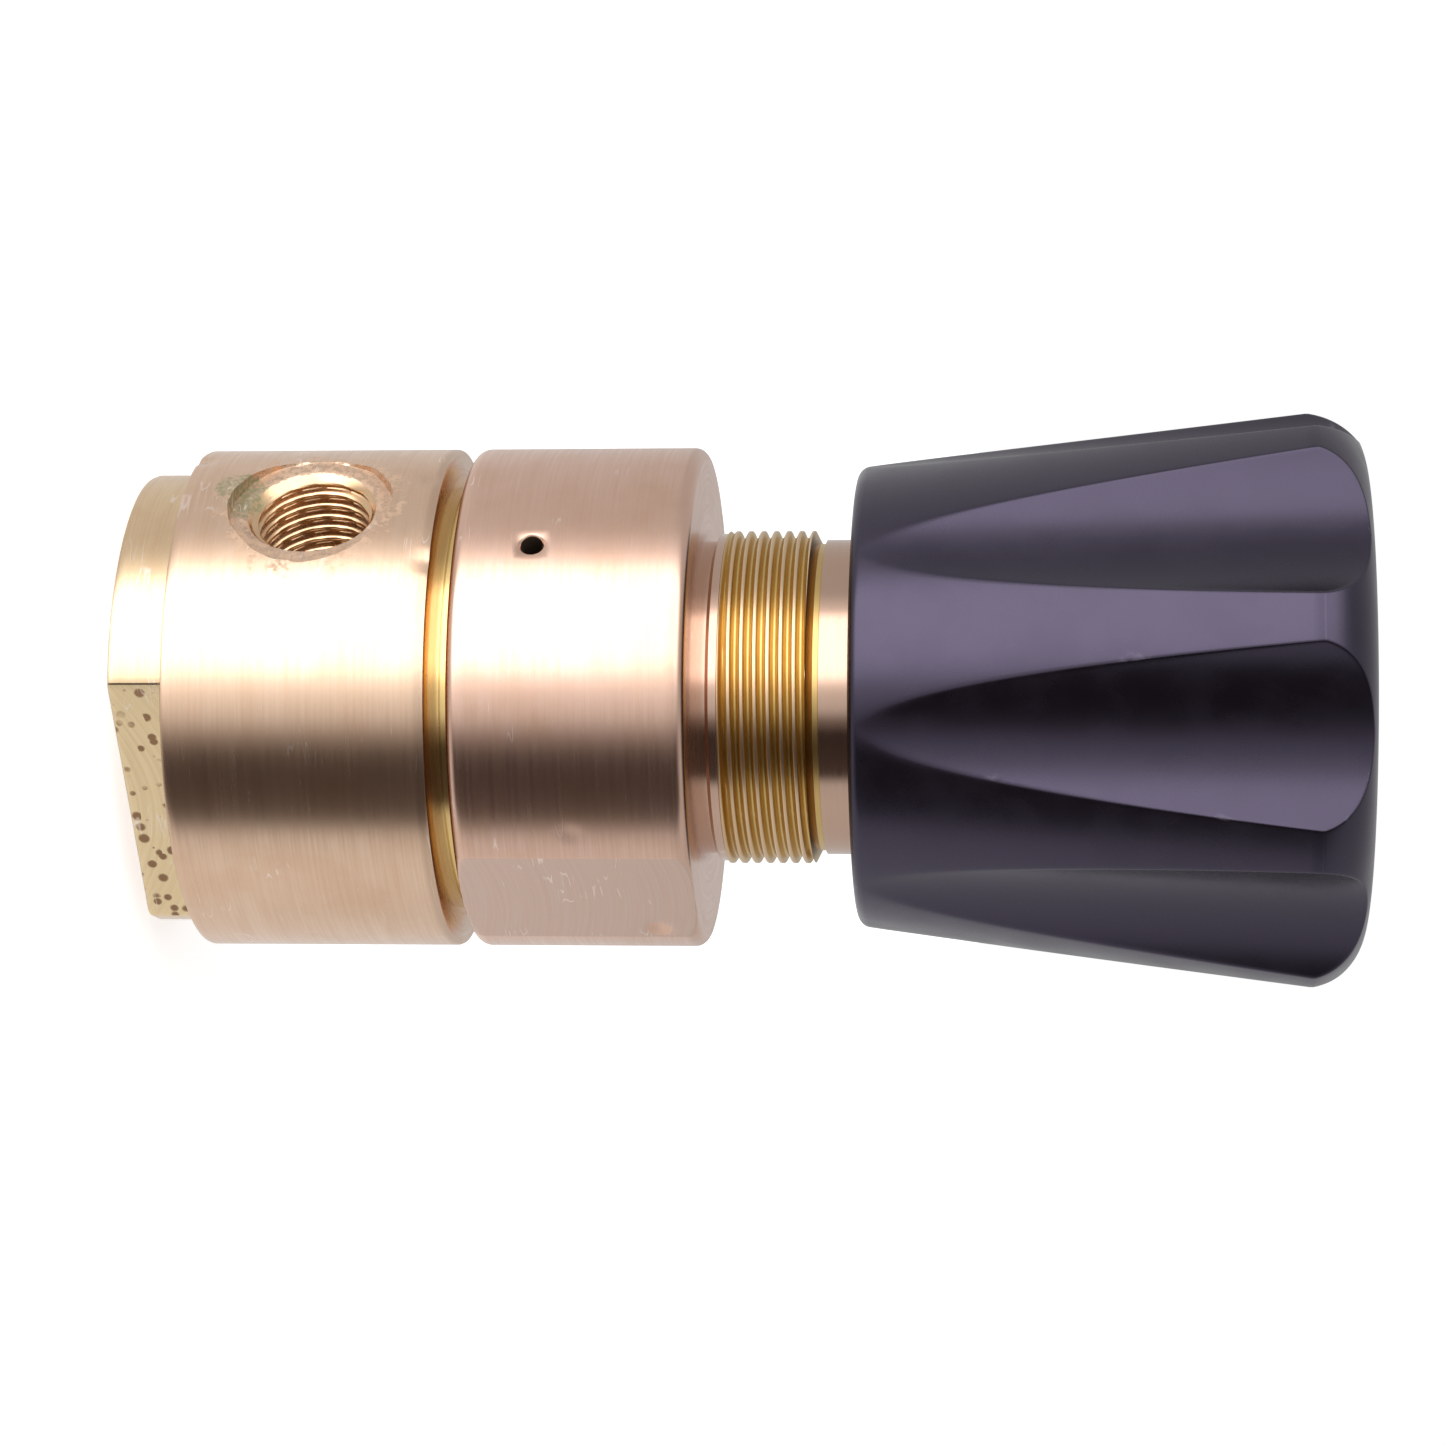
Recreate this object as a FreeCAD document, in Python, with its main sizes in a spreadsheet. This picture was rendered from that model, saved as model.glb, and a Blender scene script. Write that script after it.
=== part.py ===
import FreeCAD, Part
import os
import re
import Sketcher

# A piston-type pressure regulator, standing on its bottom cap with the knob up.
# +Z runs along the regulator's axis from the cap to the knob; the origin is the centre of the
# cap's outer face. The inlet port faces -X, the outlet +X and the gauge port +Y.
# Lengths are in millimetres and angles in degrees. Threads are plain cylinders at their major
# radius (outside) or their bore radius (inside).

os.makedirs("parts", exist_ok=True)

doc = FreeCAD.newDocument("PressureRegulator")
sheet = doc.addObject("Spreadsheet::Sheet", "Sizes")

SIZES = {
    # Body and bonnet are turned from the same bar.
    "barrel_radius": 26.2,
    # Bottom cap: a round flange with two wrench flats and a threaded spigot.
    "cap_setback": 2.55,
    "cap_height": 6.0,
    "cap_flat_depth": 5.4,
    "cap_flat_angle": 266.5,
    "cap_edge": 0.5,
    "cap_spigot_step": 2.5,
    "cap_spigot_height": 8.0,
    "cap_spring_bore_gap": 0.6,
    "cap_spring_bore_depth": 6.0,
    "cap_tail_bore_depth": 4.2,
    "cap_groove_depth": 1.6,
    "cap_groove_width": 2.0,
    "cap_groove_from_top": 3.0,
    # Body.
    "body_height": 26.8,
    "body_edge": 0.4,
    "valve_chamber_radius": 9.0,
    "valve_chamber_height": 6.0,
    "throat_gap": 0.7,
    "web_height": 1.0,
    "outlet_chamber_radius": 8.0,
    "outlet_chamber_height": 2.6,
    "guide_pocket_depth": 1.9,
    # Ports, all three alike.
    "port_below_web": 3.3,
    "port_radius": 5.6,
    "port_bevel": 1.05,
    "spotface_radius": 8.45,
    "spotface_depth": 1.5,
    "port_floor_wall": 2.5,
    "inlet_angle": 180.0,
    "outlet_angle": 0.0,
    "gauge_angle": 90.0,
    "passage_radius": 1.1,
    "inlet_passage_rise": 0.8,
    "outlet_passage_rise": 0.05,
    "filter_step": 1.0,
    "filter_pocket_depth": 2.4,
    "filter_thickness": 1.5,
    "ring_thickness": 0.8,
    "ring_width": 1.15,
    "ring_split": 1.6,
    # Seat and its retainer.
    "seat_radius": 7.0,
    "seat_height": 1.8,
    "orifice_radius": 2.5,
    "retainer_height": 3.0,
    "retainer_gap": 1.0,
    # Poppet, its seal and its spring.
    "poppet_tail_radius": 2.4,
    "poppet_tail_below_cap_bore": 3.0,
    "poppet_collar_step": 0.2,
    "poppet_collar_height": 1.0,
    "poppet_waist_radius": 3.0,
    "poppet_seat_overlap": 1.7,
    "poppet_head_height": 1.8,
    "poppet_collar_below_seat": 3.8,
    "poppet_nose_height": 1.0,
    "poppet_groove_depth": 0.8,
    "poppet_groove_width": 1.1,
    "poppet_groove_from_end": 1.0,
    "valve_spring_wire": 0.9,
    "valve_spring_inset": 0.65,
    "valve_spring_pitch": 1.7,
    # Piston guide, sensing piston and its seals.
    "guide_pilot_radius": 12.5,
    "guide_flange_rim": 1.8,
    "guide_flange_height": 1.5,
    "guide_boss_gap": 1.2,
    "guide_boss_height": 5.2,
    "piston_radius": 6.95,
    "piston_height": 6.4,
    "piston_above_pocket": 1.2,
    "piston_rod_radius": 4.5,
    "piston_rod_height": 3.0,
    "stem_gap": 0.6,
    "piston_groove_depth": 1.65,
    "piston_groove_width": 2.8,
    "piston_groove_from_bottom": 1.8,
    "piston_ring_proud": 0.03,
    "backup_ring_thickness": 0.8,
    "face_seal_section": 1.3,
    "face_seal_offset": 1.7,
    # Bonnet: spring housing with a threaded neck.
    "bonnet_reveal": 2.0,
    "bonnet_height": 24.0,
    "bonnet_flat_depth": 1.05,
    "bonnet_flat_angle": 285.0,
    "bonnet_edge": 1.25,
    "boss_wall": 4.0,
    "bonnet_lift": 0.2,
    "neck_wall": 4.26,
    "spring_bore_height": 15.2,
    "ball_bore_gap": 2.7,
    "ball_bore_height": 4.0,
    "vent_radius": 1.1,
    "vent_bevel": 0.25,
    "vent_height": 8.15,
    "vent_angle": 194.4,
    "panel_thread_radius": 17.46,
    "panel_thread_length": 9.0,
    "undercut_depth": 1.06,
    "undercut_width": 1.1,
    "collar_step": 0.26,
    "collar_width": 1.2,
    "relief_depth": 1.36,
    "relief_width": 1.2,
    "neck_step": 0.96,
    "neck_height": 33.2,
    "neck_edge": 0.6,
    # Range spring between its two seats.
    "spring_wire": 3.6,
    "spring_side_gap": 1.6,
    "spring_pitch": 5.9,
    "spring_headroom": 8.0,
    "spring_seat_gap": 0.4,
    "spring_seat_height": 2.5,
    "spring_pilot_gap": 0.4,
    "spring_pilot_height": 2.5,
    # Thrust ball and adjusting screw.
    "ball_radius": 3.175,
    "ball_seat_depth": 2.2,
    "upper_hub_wall": 2.8,
    "upper_hub_height": 1.0,
    "screw_radius": 6.3,
    "screw_travel": 7.62,
    "screw_tip_edge": 0.8,
    "screw_shoulder": 1.3,
    "screw_flat_depth": 0.8,
    "screw_end_step": 0.24,
    "screw_end_length": 7.5,
    "screw_end_edge": 0.6,
    # Knob, with flutes cut by a straight cutter that leans outwards.
    "knob_standoff": 15.95,
    "knob_height": 52.15,
    "knob_small_radius": 23.95,
    "knob_large_radius": 30.32,
    "knob_rim_height": 5.5,
    "knob_rim_lean": 1.13,
    "knob_rim_round": 6.8,
    "knob_base_round": 1.3,
    "knob_turned": 13.0,
    "knob_neck_gap": 0.54,
    "knob_roof_gap": 1.38,
    "knob_recess_radius": 14.0,
    "knob_recess_depth": 12.9,
    "flute_count": 8.0,
    "flute_cutter_radius": 17.8,
    "flute_start": 2.0,
    "flute_depth": 4.1,
    "flute_overrun": 5.0,
    "insert_wall": 6.5,
    "washer_rim": 4.24,
    "washer_height": 1.5,
    "nut_wall": 3.44,
    "nut_height": 5.0,
    "knob_cap_step": 1.0,
    "knob_cap_height": 1.6,
    "knob_cap_lip": 2.0,
    "knob_cap_lip_wall": 1.2,
    # Clearances.
    "fit_gap": 0.05,
    "rest_gap": 0.03,
    "overcut": 3.0,
}

for row, (alias, value) in enumerate(SIZES.items(), start=1):
    sheet.set(f"A{row}", alias)
    sheet.set(f"B{row}", str(value))
    sheet.setAlias(f"B{row}", alias)
doc.recompute()

# Radii that follow from the sizes, as expressions.
CAP_RADIUS = "(barrel_radius - cap_setback)"
CAP_ACROSS_FLATS = f"(2 * ({CAP_RADIUS} - cap_flat_depth))"
SPIGOT_RADIUS = "(valve_chamber_radius + cap_spigot_step)"
BOSS_RADIUS = "(barrel_radius - boss_wall)"
PORT_FLOOR = f"({SPIGOT_RADIUS} + port_floor_wall)"
PORT_FACE = "(barrel_radius - spotface_depth)"
FILTER_FLOOR = f"({PORT_FLOOR} - filter_pocket_depth)"
FILTER_POCKET = "(port_radius - filter_step)"
FILTER_RADIUS = f"({FILTER_POCKET} - fit_gap)"
THROAT_RADIUS = "(orifice_radius + throat_gap)"
STEM_RADIUS = "(orifice_radius - stem_gap)"
HEAD_RADIUS = "(orifice_radius + poppet_seat_overlap)"
RETAINER_BORE = f"({HEAD_RADIUS} + retainer_gap)"
COLLAR_RADIUS = f"({HEAD_RADIUS} + poppet_collar_step)"
CAP_SPRING_BORE = f"({COLLAR_RADIUS} + cap_spring_bore_gap)"
TAIL_BORE = "(poppet_tail_radius + fit_gap)"
VALVE_SPRING_RADIUS = f"({COLLAR_RADIUS} - valve_spring_inset)"
GUIDE_BORE = "(piston_radius + fit_gap)"
PISTON_GROOVE_RADIUS = "(piston_radius - piston_groove_depth)"
PISTON_RING_SECTION = "(piston_groove_depth + piston_ring_proud)"
FACE_SEAL_RADIUS = "(guide_pilot_radius + face_seal_offset)"
GUIDE_FLANGE_RADIUS = f"({FACE_SEAL_RADIUS} + guide_flange_rim)"
SPRING_BORE = "(panel_thread_radius - neck_wall)"
GUIDE_BOSS_RADIUS = f"({SPRING_BORE} - guide_boss_gap)"
SPRING_RADIUS = f"({SPRING_BORE} - spring_side_gap - spring_wire / 2)"
SPRING_SEAT_RADIUS = f"({SPRING_BORE} - spring_seat_gap)"
SPRING_PILOT_RADIUS = f"({SPRING_RADIUS} - spring_wire / 2 - spring_pilot_gap)"
SOCKET_RADIUS = "(ball_radius + rest_gap)"
UPPER_HUB_RADIUS = "(ball_radius + upper_hub_wall)"
SCREW_BORE = "(screw_radius + fit_gap)"
SHANK_RADIUS = "(screw_radius - screw_shoulder)"
SHANK_ACROSS_FLATS = f"(2 * ({SHANK_RADIUS} - screw_flat_depth))"
SCREW_END_RADIUS = f"({SHANK_RADIUS} - screw_end_step)"
BALL_BORE = "(screw_radius + ball_bore_gap)"
UNDERCUT_RADIUS = "(panel_thread_radius - undercut_depth)"
COLLAR_OF_NECK = "(panel_thread_radius - collar_step)"
RELIEF_RADIUS = "(panel_thread_radius - relief_depth)"
NECK_RADIUS = "(panel_thread_radius - neck_step)"
KNOB_CAVITY = "(panel_thread_radius + knob_neck_gap)"
KNOB_CAP_RADIUS = "(knob_recess_radius + knob_cap_step)"
INSERT_RADIUS = f"({SHANK_RADIUS} + insert_wall)"
WASHER_RADIUS = f"({SCREW_END_RADIUS} + washer_rim)"
NUT_RADIUS = f"({SCREW_END_RADIUS} + nut_wall)"

# Heights along the axis, as expressions of the sizes.
SPIGOT_TOP = "(cap_height + cap_spigot_height)"
SPRING_BORE_FLOOR = f"({SPIGOT_TOP} - cap_spring_bore_depth)"
TAIL_BORE_FLOOR = f"({SPRING_BORE_FLOOR} - cap_tail_bore_depth)"
BODY_TOP = "(cap_height + body_height)"
SEAT_BOTTOM = f"({SPIGOT_TOP} + valve_chamber_height)"
SEAT_TOP = f"({SEAT_BOTTOM} + seat_height)"
WEB_TOP = f"({SEAT_TOP} + web_height)"
PORT_HEIGHT = f"({WEB_TOP} - port_below_web)"
INLET_PASSAGE = f"({SPIGOT_TOP} + passage_radius + inlet_passage_rise)"
OUTLET_PASSAGE = f"({WEB_TOP} + passage_radius + outlet_passage_rise)"
POCKET_FLOOR = f"({WEB_TOP} + outlet_chamber_height)"
GUIDE_FLOOR = f"({POCKET_FLOOR} + guide_pocket_depth)"
GUIDE_FLANGE_TOP = f"({GUIDE_FLOOR} + guide_flange_height)"
GUIDE_TOP = f"({GUIDE_FLANGE_TOP} + guide_boss_height)"
PISTON_BOTTOM = f"({POCKET_FLOOR} + piston_above_pocket)"
PISTON_GROOVE = f"({PISTON_BOTTOM} + piston_groove_from_bottom)"
PISTON_TOP = f"({PISTON_BOTTOM} + piston_height)"
LOWER_SEAT_BOTTOM = f"({PISTON_TOP} + piston_rod_height)"
SPRING_BOTTOM = f"({LOWER_SEAT_BOTTOM} + spring_seat_height)"
BONNET_BASE = f"({BODY_TOP} + bonnet_reveal)"
SHOULDER = f"({BONNET_BASE} + bonnet_height)"
COLLAR_BOTTOM = f"({SHOULDER} + undercut_width)"
THREAD_BOTTOM = f"({COLLAR_BOTTOM} + collar_width)"
THREAD_TOP = f"({THREAD_BOTTOM} + panel_thread_length)"
RELIEF_TOP = f"({THREAD_TOP} + relief_width)"
NECK_TOP = f"({SHOULDER} + neck_height)"
SPRING_BORE_TOP = f"({SHOULDER} + spring_bore_height)"
SPRING_TOP = f"({SPRING_BORE_TOP} - spring_headroom)"
UPPER_SEAT_TOP = f"({SPRING_TOP} + spring_seat_height)"
UPPER_HUB_TOP = f"({UPPER_SEAT_TOP} + upper_hub_height)"
BALL_HEIGHT = f"({UPPER_HUB_TOP} + ball_radius - ball_seat_depth)"
SCREW_TIP = f"({BALL_HEIGHT} + ball_radius - ball_seat_depth)"
BALL_BORE_TOP = f"({SPRING_BORE_TOP} + ball_bore_height)"
KNOB_BASE = f"({SHOULDER} + knob_standoff)"
KNOB_TOP = f"({KNOB_BASE} + knob_height)"
KNOB_CONE_HEIGHT = "(knob_height - knob_rim_height)"
KNOB_RIM_RADIUS = "(knob_large_radius - knob_rim_lean)"
CAVITY_ROOF = f"({NECK_TOP} + screw_travel + knob_roof_gap)"
INSERT_TOP = f"({KNOB_TOP} - knob_recess_depth)"
INSERT_HEIGHT = f"({INSERT_TOP} - {CAVITY_ROOF})"
WASHER_TOP = f"({INSERT_TOP} + washer_height)"
SCREW_END = f"({INSERT_TOP} + screw_end_length)"
KNOB_CAP_BOTTOM = f"({KNOB_TOP} - knob_cap_height)"
COLLAR_OF_POPPET = f"({SEAT_BOTTOM} - poppet_collar_below_seat)"
POPPET_FACE = f"({SEAT_BOTTOM} - rest_gap)"
NOSE_TOP = f"({POPPET_FACE} + poppet_nose_height)"
POPPET_END = f"({SPRING_BORE_FLOOR} - poppet_tail_below_cap_bore)"
POPPET_GROOVE = f"({POPPET_END} + poppet_groove_from_end)"
POPPET_GROOVE_RADIUS = "(poppet_tail_radius - poppet_groove_depth)"

ALIAS = re.compile(r"\b[a-z_]+\b(?!\()")
parts = []


def bound(text):
    """The expression with each size named as a cell of the sheet."""
    return ALIAS.sub(lambda word: "Sizes." + word.group(0), text)


def bind(item, **properties):
    """Bind properties to expressions; a double underscore stands for a dot."""
    for name, text in properties.items():
        item.setExpression(name.replace("__", "."), bound(text))


def size(alias):
    """The value of one cell of the sheet."""
    return getattr(sheet, alias)


def new_body(label):
    """A body that becomes one sub-part."""
    body = doc.addObject("PartDesign::Body", label)
    body.Label = label
    parts.append(body)
    return body


def plane(body, role):
    """One of a body's own origin planes."""
    return next(item for item in body.Origin.OriginFeatures if item.Role == role)


def add_outline(sketch, corners):
    """Add a closed outline whose corners sit at bound coordinates, each an expression.

    "0" puts the corner on the sketch's axis and a leading minus sign on its far side.
    """
    first = sketch.GeometryCount
    count = len(corners)
    spots = [FreeCAD.Vector(10 + k, 10 + 0.1 * k * k, 0) for k in range(count)]
    sketch.addGeometry([Part.LineSegment(spots[k], spots[(k + 1) % count]) for k in range(count)], False)
    for k in range(count):
        sketch.addConstraint(Sketcher.Constraint("Coincident", first + k, 2, first + (k + 1) % count, 1))
    for k, (across, up) in enumerate(corners):
        sideways = ("DistanceX", across, spots[k].x, -2)
        upwards = ("DistanceY", up, spots[k].y, -1)
        for kind, text, here, axis in (sideways, upwards):
            if text == "0":
                sketch.addConstraint(Sketcher.Constraint("PointOnObject", first + k, 1, axis))
            elif text.startswith("-"):
                rule = sketch.addConstraint(Sketcher.Constraint(kind, first + k, 1, -1, 1, -here))
                sketch.setExpression(f"Constraints[{rule}]", bound(text[1:]))
            else:
                rule = sketch.addConstraint(Sketcher.Constraint(kind, -1, 1, first + k, 1, here))
                sketch.setExpression(f"Constraints[{rule}]", bound(text))


def new_sketch(body, name, role, *outlines):
    """A sketch of closed outlines on one of the body's origin planes."""
    sketch = body.newObject("Sketcher::SketchObject", name)
    sketch.AttachmentSupport = [(plane(body, role), "")]
    sketch.MapMode = "FlatFace"
    for corners in outlines:
        add_outline(sketch, corners)
    return sketch


def turned(body, name, corners):
    """Revolve an outline of (radius, height) corners about the body's axis."""
    sketch = new_sketch(body, name + "Profile", "XZ_Plane", corners)
    feature = body.newObject("PartDesign::Revolution", name)
    feature.Profile = sketch
    feature.ReferenceAxis = (sketch, ["V_Axis"])
    feature.Angle = 360
    doc.recompute()
    return sketch


def turned_part(label, corners):
    """A sub-part that is one turned outline."""
    body = new_body(label)
    turned(body, label + "_turned", corners)
    return body


def check_cut(feature, before):
    """Stop if a cut took nothing away."""
    doc.recompute()
    if feature.Shape.Volume > before - 1e-3:
        raise RuntimeError(feature.Label + " cuts nothing")


def set_turn_axis(sketch, axis):
    """Give the sketch's offset an axis, so that its angle can be bound."""
    one_degree = FreeCAD.Rotation(axis, 1)
    sketch.AttachmentOffset = FreeCAD.Placement(FreeCAD.Vector(), one_degree)


def drilled(body, name, angle, height, steps):
    """A stepped hole bored towards the axis.

    angle is the direction it opens in, height its level, and steps its (distance from the
    regulator's axis, radius) pairs from the innermost outwards.
    """
    corners = [(steps[0][0], "0")] + list(steps) + [(steps[-1][0], "0")]
    sketch = new_sketch(body, name + "Profile", "XZ_Plane", corners)
    set_turn_axis(sketch, FreeCAD.Vector(0, 1, 0))
    bind(sketch, AttachmentOffset__Base__y=height, AttachmentOffset__Rotation__Angle=angle)
    before = body.Shape.Volume
    feature = body.newObject("PartDesign::Groove", name)
    feature.Profile = sketch
    feature.ReferenceAxis = (sketch, ["H_Axis"])
    feature.Angle = 360
    check_cut(feature, before)


def milled_flats(body, name, across, angle, bottom, tall, reach):
    """Two opposite wrench flats, cut upwards from a given level."""
    near = f"({across} / 2)"
    far = f"({reach} + overcut)"
    sides = [
        [(near, "-" + far), (far, "-" + far), (far, far), (near, far)],
        [("-" + far, "-" + far), ("-" + near, "-" + far), ("-" + near, far), ("-" + far, far)],
    ]
    sketch = new_sketch(body, name + "Outline", "XY_Plane", *sides)
    set_turn_axis(sketch, FreeCAD.Vector(0, 0, 1))
    bind(sketch, AttachmentOffset__Base__z=bottom, AttachmentOffset__Rotation__Angle=angle)
    before = body.Shape.Volume
    feature = body.newObject("PartDesign::Pocket", name)
    feature.Profile = sketch
    feature.Type = "Length"
    feature.Reversed = True
    bind(feature, Length=tall)
    check_cut(feature, before)


def rim_edges(body, radius, height):
    """The names of the circular edges of this radius at this height."""
    names = []
    for number, edge in enumerate(body.Shape.Edges, start=1):
        curve = edge.Curve
        if isinstance(curve, Part.Circle) and abs(curve.Radius - radius) < 1e-4:
            if abs(curve.Center.z - height) < 1e-4:
                names.append(f"Edge{number}")
    if not names:
        raise RuntimeError("no edge of radius " + str(radius))
    return names


def rounded(body, name, radius, height, round_size):
    """Round the circular edge of this radius at this height."""
    names = rim_edges(body, radius, height)
    base = body.Tip
    feature = body.newObject("PartDesign::Fillet", name)
    feature.Base = (base, names)
    bind(feature, Radius=round_size)
    doc.recompute()


def primitive(kind, name, **properties):
    """A Part primitive with its properties bound."""
    item = doc.addObject(kind, name)
    bind(item, **properties)
    return item


def combined(kind, name, base, tool):
    """A boolean of two objects."""
    item = doc.addObject(kind, name)
    item.Base = base
    item.Tool = tool
    return item


def as_part(item, label):
    """Name an object as a sub-part."""
    item.Label = label
    parts.append(item)
    return item


def seal_ring(label, centre_radius, section, height):
    """An O-ring about the axis at a level."""
    ring = primitive("Part::Torus", label, Radius1=centre_radius, Radius2=f"{section} / 2")
    bind(ring, Placement__Base__z=height)
    return as_part(ring, label)


def coil_spring(label, wire, mean_radius, pitch, bottom, top):
    """A round-wire spring with plain ends that touches a level at each end."""
    body = new_body(label)
    sketch = new_sketch(body, label + "_wire", "XZ_Plane")
    start = FreeCAD.Vector(10, 10, 0)
    sketch.addGeometry(Part.Circle(start, FreeCAD.Vector(0, 0, 1), 1), False)
    across = ("DistanceX", mean_radius, start.x)
    up = ("DistanceY", f"{bottom} + {wire} / 2", start.y)
    for kind, text, here in (across, up):
        rule = sketch.addConstraint(Sketcher.Constraint(kind, -1, 1, 0, 3, here))
        sketch.setExpression(f"Constraints[{rule}]", bound(text))
    rule = sketch.addConstraint(Sketcher.Constraint("Radius", 0, 1))
    sketch.setExpression(f"Constraints[{rule}]", bound(f"{wire} / 2"))
    coil = body.newObject("PartDesign::AdditiveHelix", label + "_coil")
    coil.Profile = sketch
    coil.ReferenceAxis = (sketch, ["V_Axis"])
    coil.Mode = "pitch-height-angle"
    bind(coil, Pitch=pitch, Height=f"{top} - {bottom} - {wire}")
    doc.recompute()
    return body


def facing(item, angle):
    """Lay an object's own Z axis level and turn it to face an angle about the regulator's axis."""
    level = FreeCAD.Rotation(FreeCAD.Vector(0, 1, 0), 90)
    turn = FreeCAD.Rotation(FreeCAD.Vector(0, 0, 1), size(angle))
    item.Placement = FreeCAD.Placement(item.Placement.Base, turn.multiply(level))


# Body: a round bar bored from both ends, with three cross ports.
body = turned_part(
    "regulator_body",
    [
        (SPIGOT_RADIUS, "cap_height"),
        ("barrel_radius - body_edge", "cap_height"),
        ("barrel_radius", "cap_height + body_edge"),
        ("barrel_radius", f"{BODY_TOP} - body_edge"),
        ("barrel_radius - body_edge", BODY_TOP),
        (BOSS_RADIUS, BODY_TOP),
        (BOSS_RADIUS, GUIDE_FLOOR),
        (f"{FACE_SEAL_RADIUS} + face_seal_section / 2", GUIDE_FLOOR),
        (f"{FACE_SEAL_RADIUS} + face_seal_section / 2", f"{GUIDE_FLOOR} - face_seal_section"),
        (f"{FACE_SEAL_RADIUS} - face_seal_section / 2", f"{GUIDE_FLOOR} - face_seal_section"),
        (f"{FACE_SEAL_RADIUS} - face_seal_section / 2", GUIDE_FLOOR),
        ("guide_pilot_radius", GUIDE_FLOOR),
        ("guide_pilot_radius", POCKET_FLOOR),
        ("outlet_chamber_radius", POCKET_FLOOR),
        ("outlet_chamber_radius", WEB_TOP),
        (THROAT_RADIUS, WEB_TOP),
        (THROAT_RADIUS, SEAT_TOP),
        ("seat_radius", SEAT_TOP),
        ("seat_radius", SEAT_BOTTOM),
        ("valve_chamber_radius", SEAT_BOTTOM),
        ("valve_chamber_radius", SPIGOT_TOP),
        (SPIGOT_RADIUS, SPIGOT_TOP),
    ],
)
for port in ("inlet", "outlet", "gauge"):
    drilled(
        body,
        port + "_port",
        port + "_angle",
        PORT_HEIGHT,
        [
            (PORT_FLOOR, "port_radius"),
            (f"{PORT_FACE} - port_bevel", "port_radius"),
            (PORT_FACE, "port_radius + port_bevel"),
            (PORT_FACE, "spotface_radius"),
            ("barrel_radius + overcut", "spotface_radius"),
        ],
    )
drilled(
    body,
    "filter_pocket",
    "inlet_angle",
    PORT_HEIGHT,
    [(FILTER_FLOOR, FILTER_POCKET), (f"{PORT_FLOOR} + overcut", FILTER_POCKET)],
)
for port, level, chamber, floor in (
    ("inlet", INLET_PASSAGE, "valve_chamber_radius", FILTER_FLOOR),
    ("outlet", OUTLET_PASSAGE, "outlet_chamber_radius", PORT_FLOOR),
    ("gauge", OUTLET_PASSAGE, "outlet_chamber_radius", PORT_FLOOR),
):
    drilled(
        body,
        port + "_passage",
        port + "_angle",
        level,
        [(f"{chamber} - passage_radius", "passage_radius"), (f"{floor} + passage_radius", "passage_radius")],
    )

# Bottom cap, screwed in from below; its blind bore holds the valve spring and the poppet's tail.
GROOVE_TOP = f"({SPIGOT_TOP} - cap_groove_from_top + cap_groove_width)"
GROOVE_BOTTOM = f"({SPIGOT_TOP} - cap_groove_from_top)"
bottom_cap = turned_part(
    "bottom_cap",
    [
        ("0", "0"),
        (f"{CAP_RADIUS} - cap_edge", "0"),
        (CAP_RADIUS, "cap_edge"),
        (CAP_RADIUS, "cap_height"),
        (SPIGOT_RADIUS, "cap_height"),
        (SPIGOT_RADIUS, GROOVE_BOTTOM),
        (f"{SPIGOT_RADIUS} - cap_groove_depth", GROOVE_BOTTOM),
        (f"{SPIGOT_RADIUS} - cap_groove_depth", GROOVE_TOP),
        (SPIGOT_RADIUS, GROOVE_TOP),
        (SPIGOT_RADIUS, SPIGOT_TOP),
        (CAP_SPRING_BORE, SPIGOT_TOP),
        (CAP_SPRING_BORE, SPRING_BORE_FLOOR),
        (TAIL_BORE, SPRING_BORE_FLOOR),
        (TAIL_BORE, TAIL_BORE_FLOOR),
        ("0", TAIL_BORE_FLOOR),
    ],
)
milled_flats(bottom_cap, "cap_flats", CAP_ACROSS_FLATS, "cap_flat_angle", "0", "cap_height", CAP_RADIUS)
seal_ring(
    "bottom_cap_o_ring",
    f"{SPIGOT_RADIUS} - cap_groove_depth / 2",
    "cap_groove_depth",
    f"({GROOVE_TOP} + {GROOVE_BOTTOM}) / 2",
)

# Seat and the threaded ring that holds it up against the web.
turned_part(
    "valve_seat",
    [
        ("orifice_radius", SEAT_BOTTOM),
        ("seat_radius", SEAT_BOTTOM),
        ("seat_radius", SEAT_TOP),
        ("orifice_radius", SEAT_TOP),
    ],
)
turned_part(
    "seat_retainer",
    [
        (RETAINER_BORE, f"{SEAT_BOTTOM} - retainer_height"),
        ("valve_chamber_radius", f"{SEAT_BOTTOM} - retainer_height"),
        ("valve_chamber_radius", SEAT_BOTTOM),
        (RETAINER_BORE, SEAT_BOTTOM),
    ],
)

# Inlet filter and its snap ring in the pocket behind the inlet port.
filter_disc = primitive("Part::Cylinder", "inlet_filter", Radius=FILTER_RADIUS, Height="filter_thickness")
facing(filter_disc, "inlet_angle")
bind(
    filter_disc,
    Placement__Base__x=f"{FILTER_FLOOR} * cos(inlet_angle)",
    Placement__Base__y=f"{FILTER_FLOOR} * sin(inlet_angle)",
    Placement__Base__z=PORT_HEIGHT,
)
as_part(filter_disc, "inlet_filter")
RING_BORE = f"({FILTER_RADIUS} - ring_width)"
ring_outer = primitive("Part::Cylinder", "ring_outer", Radius=FILTER_RADIUS, Height="ring_thickness")
ring_hole = primitive("Part::Cylinder", "ring_hole", Radius=RING_BORE, Height="ring_thickness")
ring_blank = combined("Part::Cut", "ring_blank", ring_outer, ring_hole)
ring_slot = primitive("Part::Box", "ring_slot", Length="port_radius", Width="ring_split")
bind(ring_slot, Height="ring_thickness", Placement__Base__y="-ring_split / 2")
filter_ring = combined("Part::Cut", "filter_snap_ring", ring_blank, ring_slot)
facing(filter_ring, "inlet_angle")
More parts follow.
